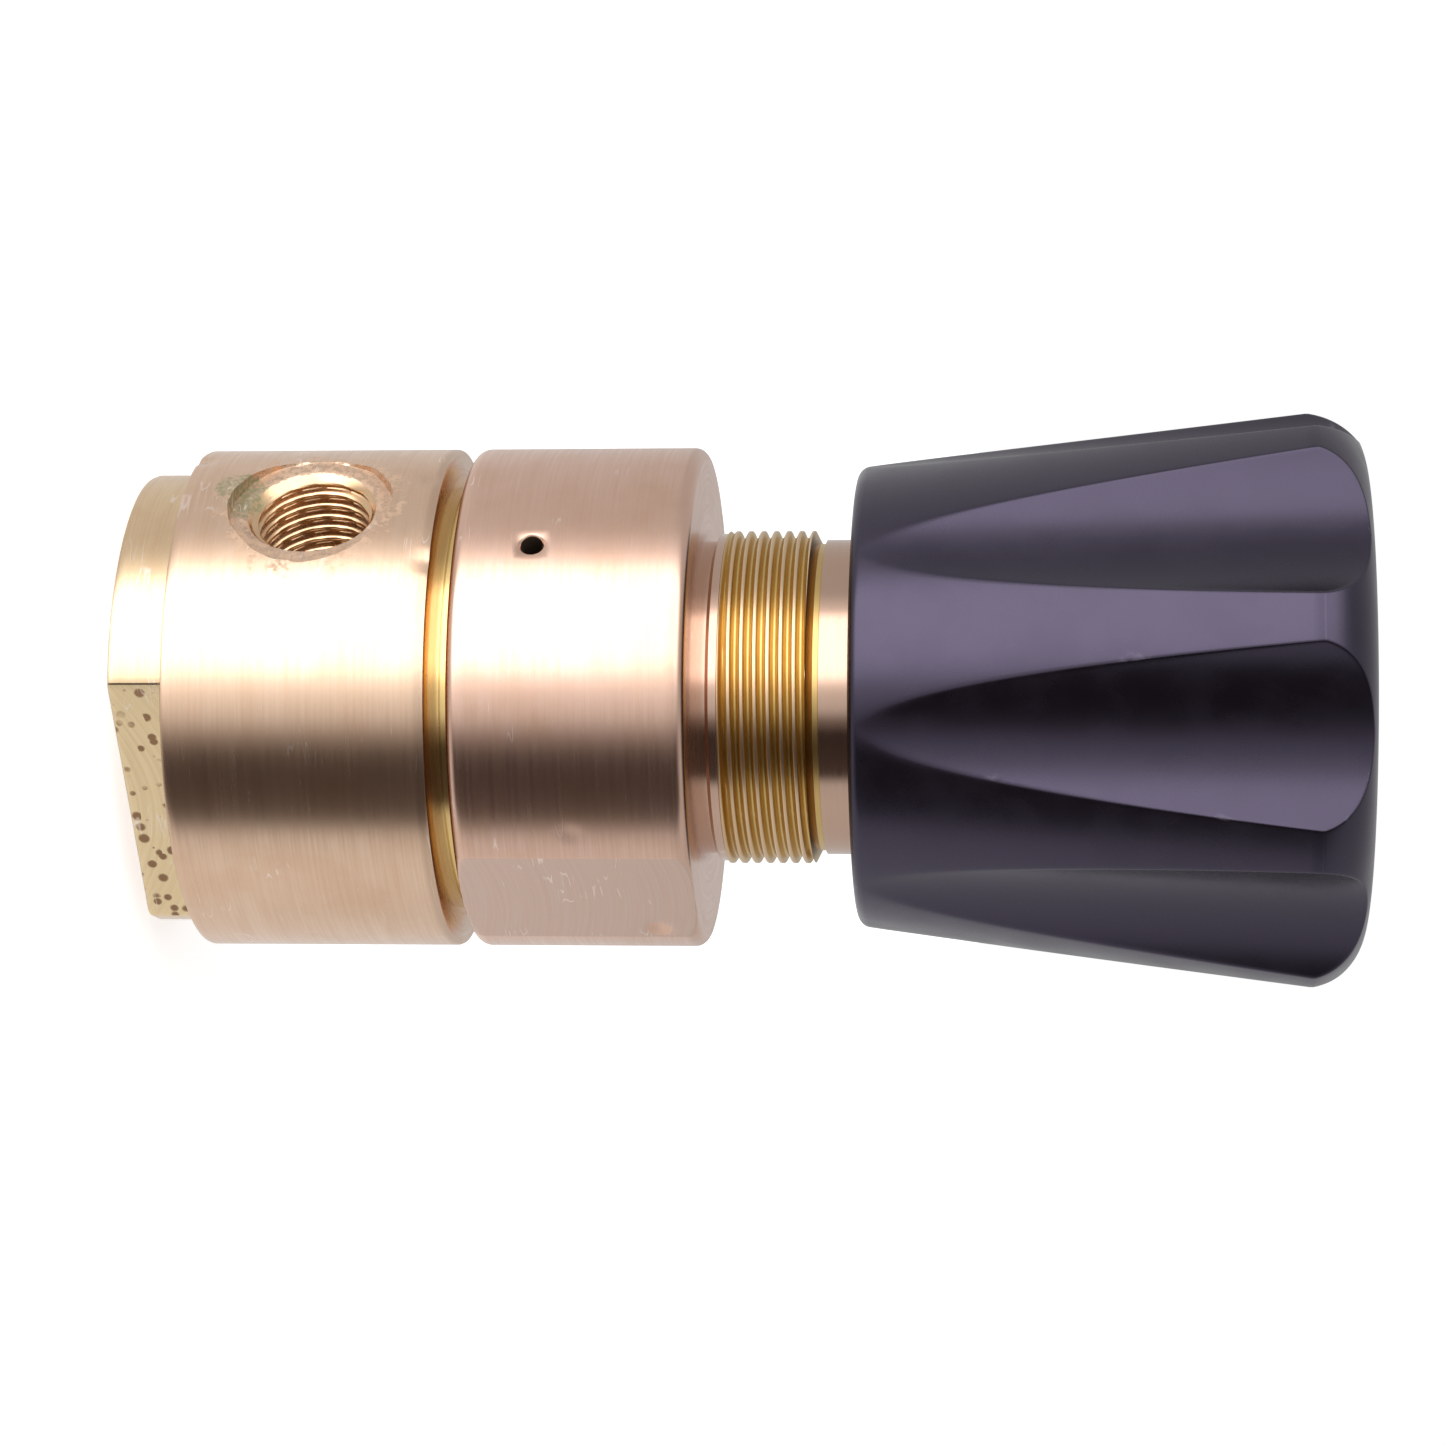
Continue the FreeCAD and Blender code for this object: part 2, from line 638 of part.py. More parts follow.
bind(
    filter_ring,
    Placement__Base__x=f"({FILTER_FLOOR} + filter_thickness) * cos(inlet_angle)",
    Placement__Base__y=f"({FILTER_FLOOR} + filter_thickness) * sin(inlet_angle)",
    Placement__Base__z=PORT_HEIGHT,
)
as_part(filter_ring, "filter_snap_ring")

# Poppet: it closes upwards against the seat and its tail slides in the cap.
turned_part(
    "valve_poppet",
    [
        ("0", POPPET_END),
        ("poppet_tail_radius", POPPET_END),
        ("poppet_tail_radius", POPPET_GROOVE),
        (POPPET_GROOVE_RADIUS, POPPET_GROOVE),
        (POPPET_GROOVE_RADIUS, f"{POPPET_GROOVE} + poppet_groove_width"),
        ("poppet_tail_radius", f"{POPPET_GROOVE} + poppet_groove_width"),
        ("poppet_tail_radius", f"{COLLAR_OF_POPPET} - poppet_collar_height"),
        (COLLAR_RADIUS, f"{COLLAR_OF_POPPET} - poppet_collar_height"),
        (COLLAR_RADIUS, COLLAR_OF_POPPET),
        ("poppet_waist_radius", COLLAR_OF_POPPET),
        ("poppet_waist_radius", f"{POPPET_FACE} - poppet_head_height"),
        (HEAD_RADIUS, f"{POPPET_FACE} - poppet_head_height"),
        (HEAD_RADIUS, POPPET_FACE),
        (STEM_RADIUS, POPPET_FACE),
        (STEM_RADIUS, NOSE_TOP),
        ("0", NOSE_TOP),
    ],
)
seal_ring(
    "poppet_o_ring",
    "poppet_tail_radius - poppet_groove_depth / 2",
    "poppet_groove_depth",
    f"{POPPET_GROOVE} + poppet_groove_width / 2",
)
coil_spring(
    "valve_spring",
    "valve_spring_wire",
    VALVE_SPRING_RADIUS,
    "valve_spring_pitch",
    SPRING_BORE_FLOOR,
    f"({COLLAR_OF_POPPET} - poppet_collar_height - rest_gap)",
)

# Piston guide, clamped between the body and the bonnet, and its face seal.
turned_part(
    "piston_guide",
    [
        (GUIDE_BORE, POCKET_FLOOR),
        ("guide_pilot_radius", POCKET_FLOOR),
        ("guide_pilot_radius", GUIDE_FLOOR),
        (GUIDE_FLANGE_RADIUS, GUIDE_FLOOR),
        (GUIDE_FLANGE_RADIUS, GUIDE_FLANGE_TOP),
        (GUIDE_BOSS_RADIUS, GUIDE_FLANGE_TOP),
        (GUIDE_BOSS_RADIUS, GUIDE_TOP),
        (GUIDE_BORE, GUIDE_TOP),
    ],
)
seal_ring("guide_o_ring", FACE_SEAL_RADIUS, "face_seal_section", f"{GUIDE_FLOOR} - face_seal_section / 2")

# Sensing piston: its stem pushes the poppet open; its rod carries the lower spring seat.
turned_part(
    "sensing_piston",
    [
        ("0", f"{NOSE_TOP} + rest_gap"),
        (STEM_RADIUS, f"{NOSE_TOP} + rest_gap"),
        (STEM_RADIUS, PISTON_BOTTOM),
        ("piston_radius", PISTON_BOTTOM),
        ("piston_radius", PISTON_GROOVE),
        (PISTON_GROOVE_RADIUS, PISTON_GROOVE),
        (PISTON_GROOVE_RADIUS, f"{PISTON_GROOVE} + piston_groove_width"),
        ("piston_radius", f"{PISTON_GROOVE} + piston_groove_width"),
        ("piston_radius", PISTON_TOP),
        ("piston_rod_radius", PISTON_TOP),
        ("piston_rod_radius", LOWER_SEAT_BOTTOM),
        ("0", LOWER_SEAT_BOTTOM),
    ],
)
seal_ring(
    "piston_o_ring",
    f"{PISTON_GROOVE_RADIUS} + {PISTON_RING_SECTION} / 2",
    PISTON_RING_SECTION,
    f"{PISTON_GROOVE} + {PISTON_RING_SECTION} / 2",
)
turned_part(
    "piston_backup_ring",
    [
        (PISTON_GROOVE_RADIUS, f"{PISTON_GROOVE} + piston_groove_width - backup_ring_thickness"),
        ("piston_radius", f"{PISTON_GROOVE} + piston_groove_width - backup_ring_thickness"),
        ("piston_radius", f"{PISTON_GROOVE} + piston_groove_width"),
        (PISTON_GROOVE_RADIUS, f"{PISTON_GROOVE} + piston_groove_width"),
    ],
)
turned_part(
    "lower_spring_seat",
    [
        ("0", LOWER_SEAT_BOTTOM),
        (SPRING_SEAT_RADIUS, LOWER_SEAT_BOTTOM),
        (SPRING_SEAT_RADIUS, SPRING_BOTTOM),
        (SPRING_PILOT_RADIUS, SPRING_BOTTOM),
        (SPRING_PILOT_RADIUS, f"{SPRING_BOTTOM} + spring_pilot_height"),
        ("0", f"{SPRING_BOTTOM} + spring_pilot_height"),
    ],
)

# Range spring.
coil_spring(
    "range_spring",
    "spring_wire",
    SPRING_RADIUS,
    "spring_pitch",
    f"({SPRING_BOTTOM} + rest_gap)",
    f"({SPRING_TOP} - rest_gap)",
)

# Upper spring seat with the ball's socket, the ball, and the screw that pushes it down.
upper_seat = turned_part(
    "upper_spring_seat",
    [
        ("0", f"{SPRING_TOP} - spring_pilot_height"),
        (SPRING_PILOT_RADIUS, f"{SPRING_TOP} - spring_pilot_height"),
        (SPRING_PILOT_RADIUS, SPRING_TOP),
        (SPRING_SEAT_RADIUS, SPRING_TOP),
        (SPRING_SEAT_RADIUS, UPPER_SEAT_TOP),
        (UPPER_HUB_RADIUS, UPPER_SEAT_TOP),
        (UPPER_HUB_RADIUS, UPPER_HUB_TOP),
        ("0", UPPER_HUB_TOP),
    ],
)
screw = turned_part(
    "adjusting_screw",
    [
        ("0", SCREW_TIP),
        ("screw_radius - screw_tip_edge", SCREW_TIP),
        ("screw_radius", f"{SCREW_TIP} + screw_tip_edge"),
        ("screw_radius", CAVITY_ROOF),
        (SHANK_RADIUS, CAVITY_ROOF),
        (SHANK_RADIUS, INSERT_TOP),
        (SCREW_END_RADIUS, INSERT_TOP),
        (SCREW_END_RADIUS, f"{SCREW_END} - screw_end_edge"),
        (f"{SCREW_END_RADIUS} - screw_end_edge", SCREW_END),
        ("0", SCREW_END),
    ],
)
for owner in (upper_seat, screw):
    before = owner.Shape.Volume
    socket = owner.newObject("PartDesign::SubtractiveSphere", owner.Label + "_socket")
    bind(socket, Radius=SOCKET_RADIUS, Placement__Base__z=BALL_HEIGHT)
    check_cut(socket, before)
milled_flats(screw, "screw_flats", SHANK_ACROSS_FLATS, "0", CAVITY_ROOF, INSERT_HEIGHT, SHANK_RADIUS)
ball = primitive("Part::Sphere", "thrust_ball", Radius="ball_radius")
bind(ball, Placement__Base__z=BALL_HEIGHT)
as_part(ball, "thrust_ball")

# Bonnet: housing, flats, vent and the long neck with its panel thread.
bonnet = turned_part(
    "bonnet",
    [
        (f"{GUIDE_FLANGE_RADIUS} + fit_gap", f"{GUIDE_FLOOR} + bonnet_lift"),
        (BOSS_RADIUS, f"{GUIDE_FLOOR} + bonnet_lift"),
        (BOSS_RADIUS, BONNET_BASE),
        ("barrel_radius", BONNET_BASE),
        ("barrel_radius", SHOULDER),
        (UNDERCUT_RADIUS, SHOULDER),
        (UNDERCUT_RADIUS, COLLAR_BOTTOM),
        (COLLAR_OF_NECK, f"{COLLAR_BOTTOM} + ({COLLAR_OF_NECK} - {UNDERCUT_RADIUS}) / 2"),
        (COLLAR_OF_NECK, THREAD_BOTTOM),
        ("panel_thread_radius", THREAD_BOTTOM),
        ("panel_thread_radius", THREAD_TOP),
        (RELIEF_RADIUS, f"{THREAD_TOP} + relief_depth / 2"),
        (RELIEF_RADIUS, RELIEF_TOP),
        (NECK_RADIUS, RELIEF_TOP),
        (NECK_RADIUS, f"{NECK_TOP} - neck_edge"),
        (f"{NECK_RADIUS} - neck_edge", NECK_TOP),
        (SCREW_BORE, NECK_TOP),
        (SCREW_BORE, BALL_BORE_TOP),
        (BALL_BORE, BALL_BORE_TOP),
        (BALL_BORE, SPRING_BORE_TOP),
        (SPRING_BORE, SPRING_BORE_TOP),
        (SPRING_BORE, GUIDE_FLANGE_TOP),
        (f"{GUIDE_FLANGE_RADIUS} + fit_gap", GUIDE_FLANGE_TOP),
    ],
)
SHOULDER_AT = (
    size("cap_height") + size("body_height") + size("bonnet_reveal") + size("bonnet_height")
)
BONNET_BASE_AT = SHOULDER_AT - size("bonnet_height")
rounded(bonnet, "shoulder_round", size("barrel_radius"), SHOULDER_AT, "bonnet_edge")
rounded(bonnet, "skirt_round", size("barrel_radius"), BONNET_BASE_AT, "bonnet_edge")
milled_flats(
    bonnet,
    "bonnet_flats",
    "(2 * (barrel_radius - bonnet_flat_depth))",
    "bonnet_flat_angle",
    BONNET_BASE,
    "bonnet_height",
    "barrel_radius",
)
drilled(
    bonnet,
    "vent",
    "vent_angle",
    f"{BONNET_BASE} + vent_height",
    [
        (f"{SPRING_BORE} - vent_radius", "vent_radius"),
        ("barrel_radius - vent_bevel", "vent_radius"),
        ("barrel_radius + overcut", "vent_radius + vent_bevel + overcut"),
    ],
)

# Knob: a hollow cone with a rim that leans back in, rounded at both ends, with leaning flutes,
# a hexagonal hole for the insert and a recess for the nut.
knob = turned_part(
    "knob",
    [
        (KNOB_CAVITY, KNOB_BASE),
        ("knob_small_radius", KNOB_BASE),
        ("knob_large_radius", f"{KNOB_BASE} + {KNOB_CONE_HEIGHT}"),
        (KNOB_RIM_RADIUS, KNOB_TOP),
        (KNOB_CAP_RADIUS, KNOB_TOP),
        (KNOB_CAP_RADIUS, KNOB_CAP_BOTTOM),
        ("knob_recess_radius", KNOB_CAP_BOTTOM),
        ("knob_recess_radius", INSERT_TOP),
        (SHANK_RADIUS, INSERT_TOP),
        (SHANK_RADIUS, CAVITY_ROOF),
        (KNOB_CAVITY, CAVITY_ROOF),
    ],
)
bind(knob, Placement__Rotation__Angle="knob_turned")
KNOB_BASE_AT = SHOULDER_AT + size("knob_standoff")
KNOB_TOP_AT = KNOB_BASE_AT + size("knob_height")
KNOB_RIM_AT = size("knob_large_radius") - size("knob_rim_lean")
rounded(knob, "knob_rim", KNOB_RIM_AT, KNOB_TOP_AT, "knob_rim_round")
rounded(knob, "knob_base_rim", size("knob_small_radius"), KNOB_BASE_AT, "knob_base_round")
hex_hole = knob.newObject("PartDesign::SubtractivePrism", "insert_hole")
hex_hole.Polygon = 6
volume_before = knob.Shape.Volume
bind(hex_hole, Circumradius=INSERT_RADIUS, Height=INSERT_HEIGHT, Placement__Base__z=CAVITY_ROOF)
check_cut(hex_hole, volume_before)
CONE_SLOPE = f"((knob_large_radius - knob_small_radius) / {KNOB_CONE_HEIGHT})"
START_RADIUS = f"(knob_small_radius + {CONE_SLOPE} * flute_start)"
LEAN = f"((knob_large_radius - flute_depth - {START_RADIUS}) / ({KNOB_CONE_HEIGHT} - flute_start))"
flute = knob.newObject("PartDesign::SubtractiveCylinder", "flute")
flute.Placement = FreeCAD.Placement(FreeCAD.Vector(), FreeCAD.Rotation(FreeCAD.Vector(0, 1, 0), 1))
volume_before = knob.Shape.Volume
bind(
    flute,
    Radius="flute_cutter_radius",
    Height="knob_height + 3 * flute_overrun",
    Placement__Rotation__Angle=f"atan({LEAN})",
    Placement__Base__x=(
        f"{START_RADIUS} + flute_cutter_radius / cos(atan({LEAN})) - {LEAN} * (flute_start + flute_overrun)"
    ),
    Placement__Base__z=f"{KNOB_BASE} - flute_overrun",
)
check_cut(flute, volume_before)
volume_before = knob.Shape.Volume
flutes = knob.newObject("PartDesign::PolarPattern", "flutes")
flutes.Originals = [flute]
flutes.Axis = (knob.Group[0], ["V_Axis"])
flutes.Angle = 360
bind(flutes, Occurrences="flute_count")
knob.Tip = flutes
check_cut(flutes, volume_before)

# Hexagonal insert with a bore that has two flats, as the screw's shank has.
insert_blank = primitive("Part::Prism", "insert_blank", Circumradius=INSERT_RADIUS, Height=INSERT_HEIGHT)
insert_blank.Polygon = 6
insert_bore = primitive("Part::Cylinder", "insert_bore", Radius=SHANK_RADIUS, Height=INSERT_HEIGHT)
bore_width = primitive("Part::Box", "bore_width", Length=SHANK_ACROSS_FLATS, Height=INSERT_HEIGHT)
bind(bore_width, Width=f"2 * {INSERT_RADIUS}", Placement__Base__x=f"-{SHANK_ACROSS_FLATS} / 2")
bind(bore_width, Placement__Base__y=f"-{INSERT_RADIUS}")
flatted_bore = combined("Part::Common", "flatted_bore", insert_bore, bore_width)
insert = combined("Part::Cut", "knob_insert", insert_blank, flatted_bore)
bind(insert, Placement__Base__z=CAVITY_ROOF, Placement__Rotation__Angle="knob_turned")
as_part(insert, "knob_insert")
bind(screw, Placement__Rotation__Angle="knob_turned")

# Washer and nut that hold the knob on the screw, and the cap that closes the recess.
turned_part(
    "knob_washer",
    [
        (SCREW_END_RADIUS, INSERT_TOP),
        (WASHER_RADIUS, INSERT_TOP),
        (WASHER_RADIUS, WASHER_TOP),
        (SCREW_END_RADIUS, WASHER_TOP),
    ],
)
nut_blank = primitive("Part::Prism", "nut_blank", Circumradius=NUT_RADIUS, Height="nut_height")
nut_blank.Polygon = 6
nut_bore = primitive("Part::Cylinder", "nut_bore", Radius=SCREW_END_RADIUS, Height="nut_height")
nut = combined("Part::Cut", "knob_nut", nut_blank, nut_bore)
bind(nut, Placement__Base__z=WASHER_TOP, Placement__Rotation__Angle="knob_turned")
as_part(nut, "knob_nut")
turned_part(
    "knob_cap",
    [
        ("0", KNOB_CAP_BOTTOM),
        ("knob_recess_radius - knob_cap_lip_wall", KNOB_CAP_BOTTOM),
        ("knob_recess_radius - knob_cap_lip_wall", f"{KNOB_CAP_BOTTOM} - knob_cap_lip"),
        ("knob_recess_radius", f"{KNOB_CAP_BOTTOM} - knob_cap_lip"),
        ("knob_recess_radius", KNOB_CAP_BOTTOM),
        (KNOB_CAP_RADIUS, KNOB_CAP_BOTTOM),
        (KNOB_CAP_RADIUS, KNOB_TOP),
        ("0", KNOB_TOP),
    ],
)

doc.recompute()
for item in doc.Objects:
    if "Invalid" in item.State or "Error" in item.State:
        raise RuntimeError(item.Label + " did not build: " + ", ".join(item.State))
for part in parts:
    if part.Shape.isNull() or not part.Shape.isValid() or part.Shape.Volume <= 0:
        raise RuntimeError(part.Label + " is not a valid solid")
for part in parts:
    part.Shape.exportStep(os.path.join("parts", part.Label + ".step"))
    print(f"{part.Label:22s} solids {len(part.Shape.Solids)}  volume {part.Shape.Volume:10.1f}")
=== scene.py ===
"""The looks of a brass pressure regulator with a fluted black adjusting knob.

The regulator stands on its bottom cap with its axis along +Z. Lengths are in metres.
"""

import logging
import math
from dataclasses import dataclass, field
from enum import Enum
from typing import Iterable, Sequence

import bmesh
import bpy
from mathutils import Matrix, Vector, noise


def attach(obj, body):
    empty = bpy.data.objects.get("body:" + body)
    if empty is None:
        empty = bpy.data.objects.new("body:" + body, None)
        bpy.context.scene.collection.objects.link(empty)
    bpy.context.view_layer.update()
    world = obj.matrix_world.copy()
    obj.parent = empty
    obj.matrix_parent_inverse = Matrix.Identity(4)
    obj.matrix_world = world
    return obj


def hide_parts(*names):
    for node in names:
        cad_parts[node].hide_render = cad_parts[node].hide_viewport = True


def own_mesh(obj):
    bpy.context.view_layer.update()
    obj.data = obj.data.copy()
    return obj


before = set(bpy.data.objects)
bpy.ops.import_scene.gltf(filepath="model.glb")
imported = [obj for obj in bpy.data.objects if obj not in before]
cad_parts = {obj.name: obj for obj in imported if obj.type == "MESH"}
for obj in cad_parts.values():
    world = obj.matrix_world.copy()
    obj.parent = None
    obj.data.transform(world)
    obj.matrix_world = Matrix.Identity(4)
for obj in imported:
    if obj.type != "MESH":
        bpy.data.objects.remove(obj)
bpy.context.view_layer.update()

LOG = logging.getLogger("regulator")
MM = 0.001
UP = Vector((0.0, 0.0, 1.0))
VIEW_ANGLE = math.radians(230.0)
CAP_FLAT = math.radians(266.5)
BONNET_FLAT = math.radians(285.0)
CLOSE = 1e-6


class Zone(Enum):
    """What a stretch of a turned outline is."""

    PLAIN = "plain"
    BARREL = "barrel"
    NECK = "neck"
    PANEL_THREAD = "panel thread"
    PIPE_THREAD = "pipe thread"
    BOSS = "boss"
    BORE = "bore"


class Slot(Enum):
    """The record's material slots."""

    TURNED_BRASS = "turned_brass"
    INNER_BRASS = "inner_brass"
    SINTERED_BRONZE = "sintered_bronze"
    STEEL = "steel"
    SPRING_STEEL = "spring_steel"
    SEAL_RUBBER = "seal_rubber"
    SEAT_POLYMER = "seat_polymer"
    BLACK_KNOB = "black_knob"


@dataclass(frozen=True)
class Stop:
    """One corner of a turned outline: a radius, a height, and what starts there."""

    radius: float
    height: float
    zone: Zone = Zone.PLAIN


def heading(angle: float) -> Vector:
    """The level direction at an angle, in radians, about the axis."""
    return Vector((math.cos(angle), math.sin(angle), 0.0))


def soft_min(first: float, second: float, blend: float) -> float:
    """The smaller of two values, rounded over where they cross.

    Args:
        first: One value.
        second: The other value.
        blend: The difference within which the corner is rounded.

    Returns:
        A value just under the smaller one near the crossing.
    """
    mix = min(1.0, max(0.0, 0.5 + 0.5 * (second - first) / blend))
    return second + (first - second) * mix - blend * mix * (1.0 - mix)


def smooth_step(low: float, high: float, value: float) -> float:
    """Zero below low, one above high, with a smooth rise between."""
    part = min(1.0, max(0.0, (value - low) / (high - low)))
    return part * part * (3.0 - 2.0 * part)


def thread_form(turns: float) -> float:
    """The height of a worn screw thread, from 0 at its root to 1 at its crest.

    Args:
        turns: The place across the thread, in pitches.

    Returns:
        The share of the thread's depth, with short flats at root and crest.
    """
    across = abs((turns % 1.0) - 0.5) * 2.0
    return smooth_step(0.12, 0.80, across)


def arc(centre: tuple[float, float], radius: float, start: float, end: float,
        zone: Zone = Zone.PLAIN, steps: int = 6) -> list[Stop]:
    """Corners along a round edge of an outline.

    Args:
        centre: The round's centre as (radius, height).
        radius: The round's own radius.
        start: Where it starts, in degrees up from outwards.
        end: Where it ends.
        zone: What the stretch is.
        steps: How many chords it has.

    Returns:
        The corners, both ends included.
    """
    corners = []
    for step in range(steps + 1):
        turn = math.radians(start + (end - start) * step / steps)
        spot = (centre[0] + radius * math.cos(turn), centre[1] + radius * math.sin(turn))
        corners.append(Stop(spot[0], spot[1], zone))
    return corners


def divided(stops: Sequence[Stop], longest: dict[Zone, float]) -> list[Stop]:
    """Put extra corners on the long runs of an outline.

    Args:
        stops: The outline's corners.
        longest: The longest run allowed in each zone.

    Returns:
        The outline with its long runs divided evenly.
    """
    result = []
    for here, there in zip(stops, list(stops[1:]) + [stops[-1]]):
        length = math.hypot(there.radius - here.radius, there.height - here.height)
        count = max(1, math.ceil(length / longest[here.zone] - CLOSE))
        for step in range(count):
            share = step / count
            radius = here.radius + (there.radius - here.radius) * share
            height = here.height + (there.height - here.height) * share
            result.append(Stop(radius, height, here.zone))
    return result


def fan_angles(seam: float, keys: Iterable[float], widest: float) -> list[float]:
    """Angles once round the axis that include given ones.

    Args:
        seam: The angle to start from, in radians.
        keys: Angles that must be among them.
        widest: The widest gap between two.

    Returns:
        The angles in order, from the seam up to just under a whole turn on.
    """
    turn = 2.0 * math.pi
    marks = sorted({seam + (key - seam) % turn for key in keys} | {seam})
    angles = []
    for here, there in zip(marks, marks[1:] + [seam + turn]):
        count = max(1, math.ceil((there - here) / widest - CLOSE))
        angles.extend(here + (there - here) * step / count for step in range(count))
    return angles


class Skin:
    """A closed mesh that is built ring by ring."""

    def __init__(self) -> None:
        """Start with nothing."""
        self.points: list[Vector] = []
        self.faces: list[tuple[int, ...]] = []
        self.inks: list[int] = []

    def ring(self, spots: Iterable[Vector]) -> list[int]:
        """Add points and return their numbers."""
        first = len(self.points)
        self.points.extend(spots)
        return list(range(first, len(self.points)))

    def face(self, corners: Sequence[int], ink: int) -> None:
        """Add one face in the material of that number."""
        self.faces.append(tuple(corners))
        self.inks.append(ink)

    def bridge(self, first: Sequence[int], second: Sequence[int], ink: int) -> None:
        """Join two closed rings of as many points each."""
        count = len(first)
        for here in range(count):
            there = (here + 1) % count
            self.face((first[here], first[there], second[there], second[here]), ink)

    def close(self, ring: Sequence[int], centre: Vector, ink: int) -> None:
        """Close a ring with triangles to its centre."""
        hub = self.ring([centre])[0]
        for here, there in zip(ring, list(ring[1:]) + [ring[0]]):
            self.face((here, there, hub), ink)

    def to_piece(self, name: str, finishes: Sequence[bpy.types.Material],
                 sharp: float) -> bpy.types.Object:
        """Make the Blender object.

        Args:
            name: The piece's name.
            finishes: Its materials, in the order of the faces' numbers.
            sharp: Edges that turn more than this many degrees stay sharp.

        Returns:
            The new object, outward facing and smooth shaded.
        """
        mesh = bpy.data.meshes.new(name)
        mesh.from_pydata(self.points, [], self.faces)
        for finish in finishes:
            mesh.materials.append(finish)
        for polygon, ink in zip(mesh.polygons, self.inks):
            polygon.material_index = ink
        work = bmesh.new()
        work.from_mesh(mesh)
        bmesh.ops.recalc_face_normals(work, faces=work.faces)
        if work.calc_volume(signed=True) < 0.0:
            bmesh.ops.reverse_faces(work, faces=work.faces)
        work.to_mesh(mesh)
        work.free()
        mesh.shade_smooth()
        mesh.set_sharp_from_angle(angle=math.radians(sharp))
        piece = bpy.data.objects.new(name, mesh)
        bpy.context.scene.collection.objects.link(piece)
        return piece


@dataclass(frozen=True)
class Window:
    """A square field of a barrel's wall that a hole is set in."""

    angle: float
    height: float
    half: float


@dataclass(frozen=True)
class Dent:
    """A small nick in a barrel's wall."""

    angle: float
    height: float
    size: float
    depth: float

    def at(self, angle: float, height: float, radius: float) -> float:
        """How deep the nick is at a place on the wall."""
        across = radius * math.sin(angle - self.angle)
        if math.cos(angle - self.angle) < 0.0:
            return 0.0
        spread = (across ** 2 + (height - self.height) ** 2) / self.size ** 2
        return self.depth * math.exp(-spread)


@dataclass(frozen=True)
class HoleLevel:
    """One ring of a hole, by its radius and its distance from the regulator's axis.

    The distance is None on the barrel's wall. share leads from the window's border, at 0, to
    the hole's edge, at 1. The edge wanders by rough, and the wall is cut by a thread of
    the given depth and pitch.
    """

    radius: float
    distance: float | None = None
    share: float = 1.0
    rough: float = 0.0
    thread_depth: float = 0.0
    thread_pitch: float = 1.0
    ink: int = 0

    def at(self, turn: float, span: float) -> tuple[float, float | None]:
        """The ring's radius and distance at an angle round the hole."""
        place = Vector((math.cos(turn) * 1.7, math.sin(turn) * 1.7, 3.1))
        radius = self.radius + self.rough * noise.noise(place * 1.6)
        radius += 0.5 * self.rough * noise.noise(place * 4.3)
        if self.thread_depth:
            turns = self.distance / self.thread_pitch + turn / (2.0 * math.pi)
            radius += self.thread_depth * thread_form(turns)
        return span + (radius - span) * self.share, self.distance


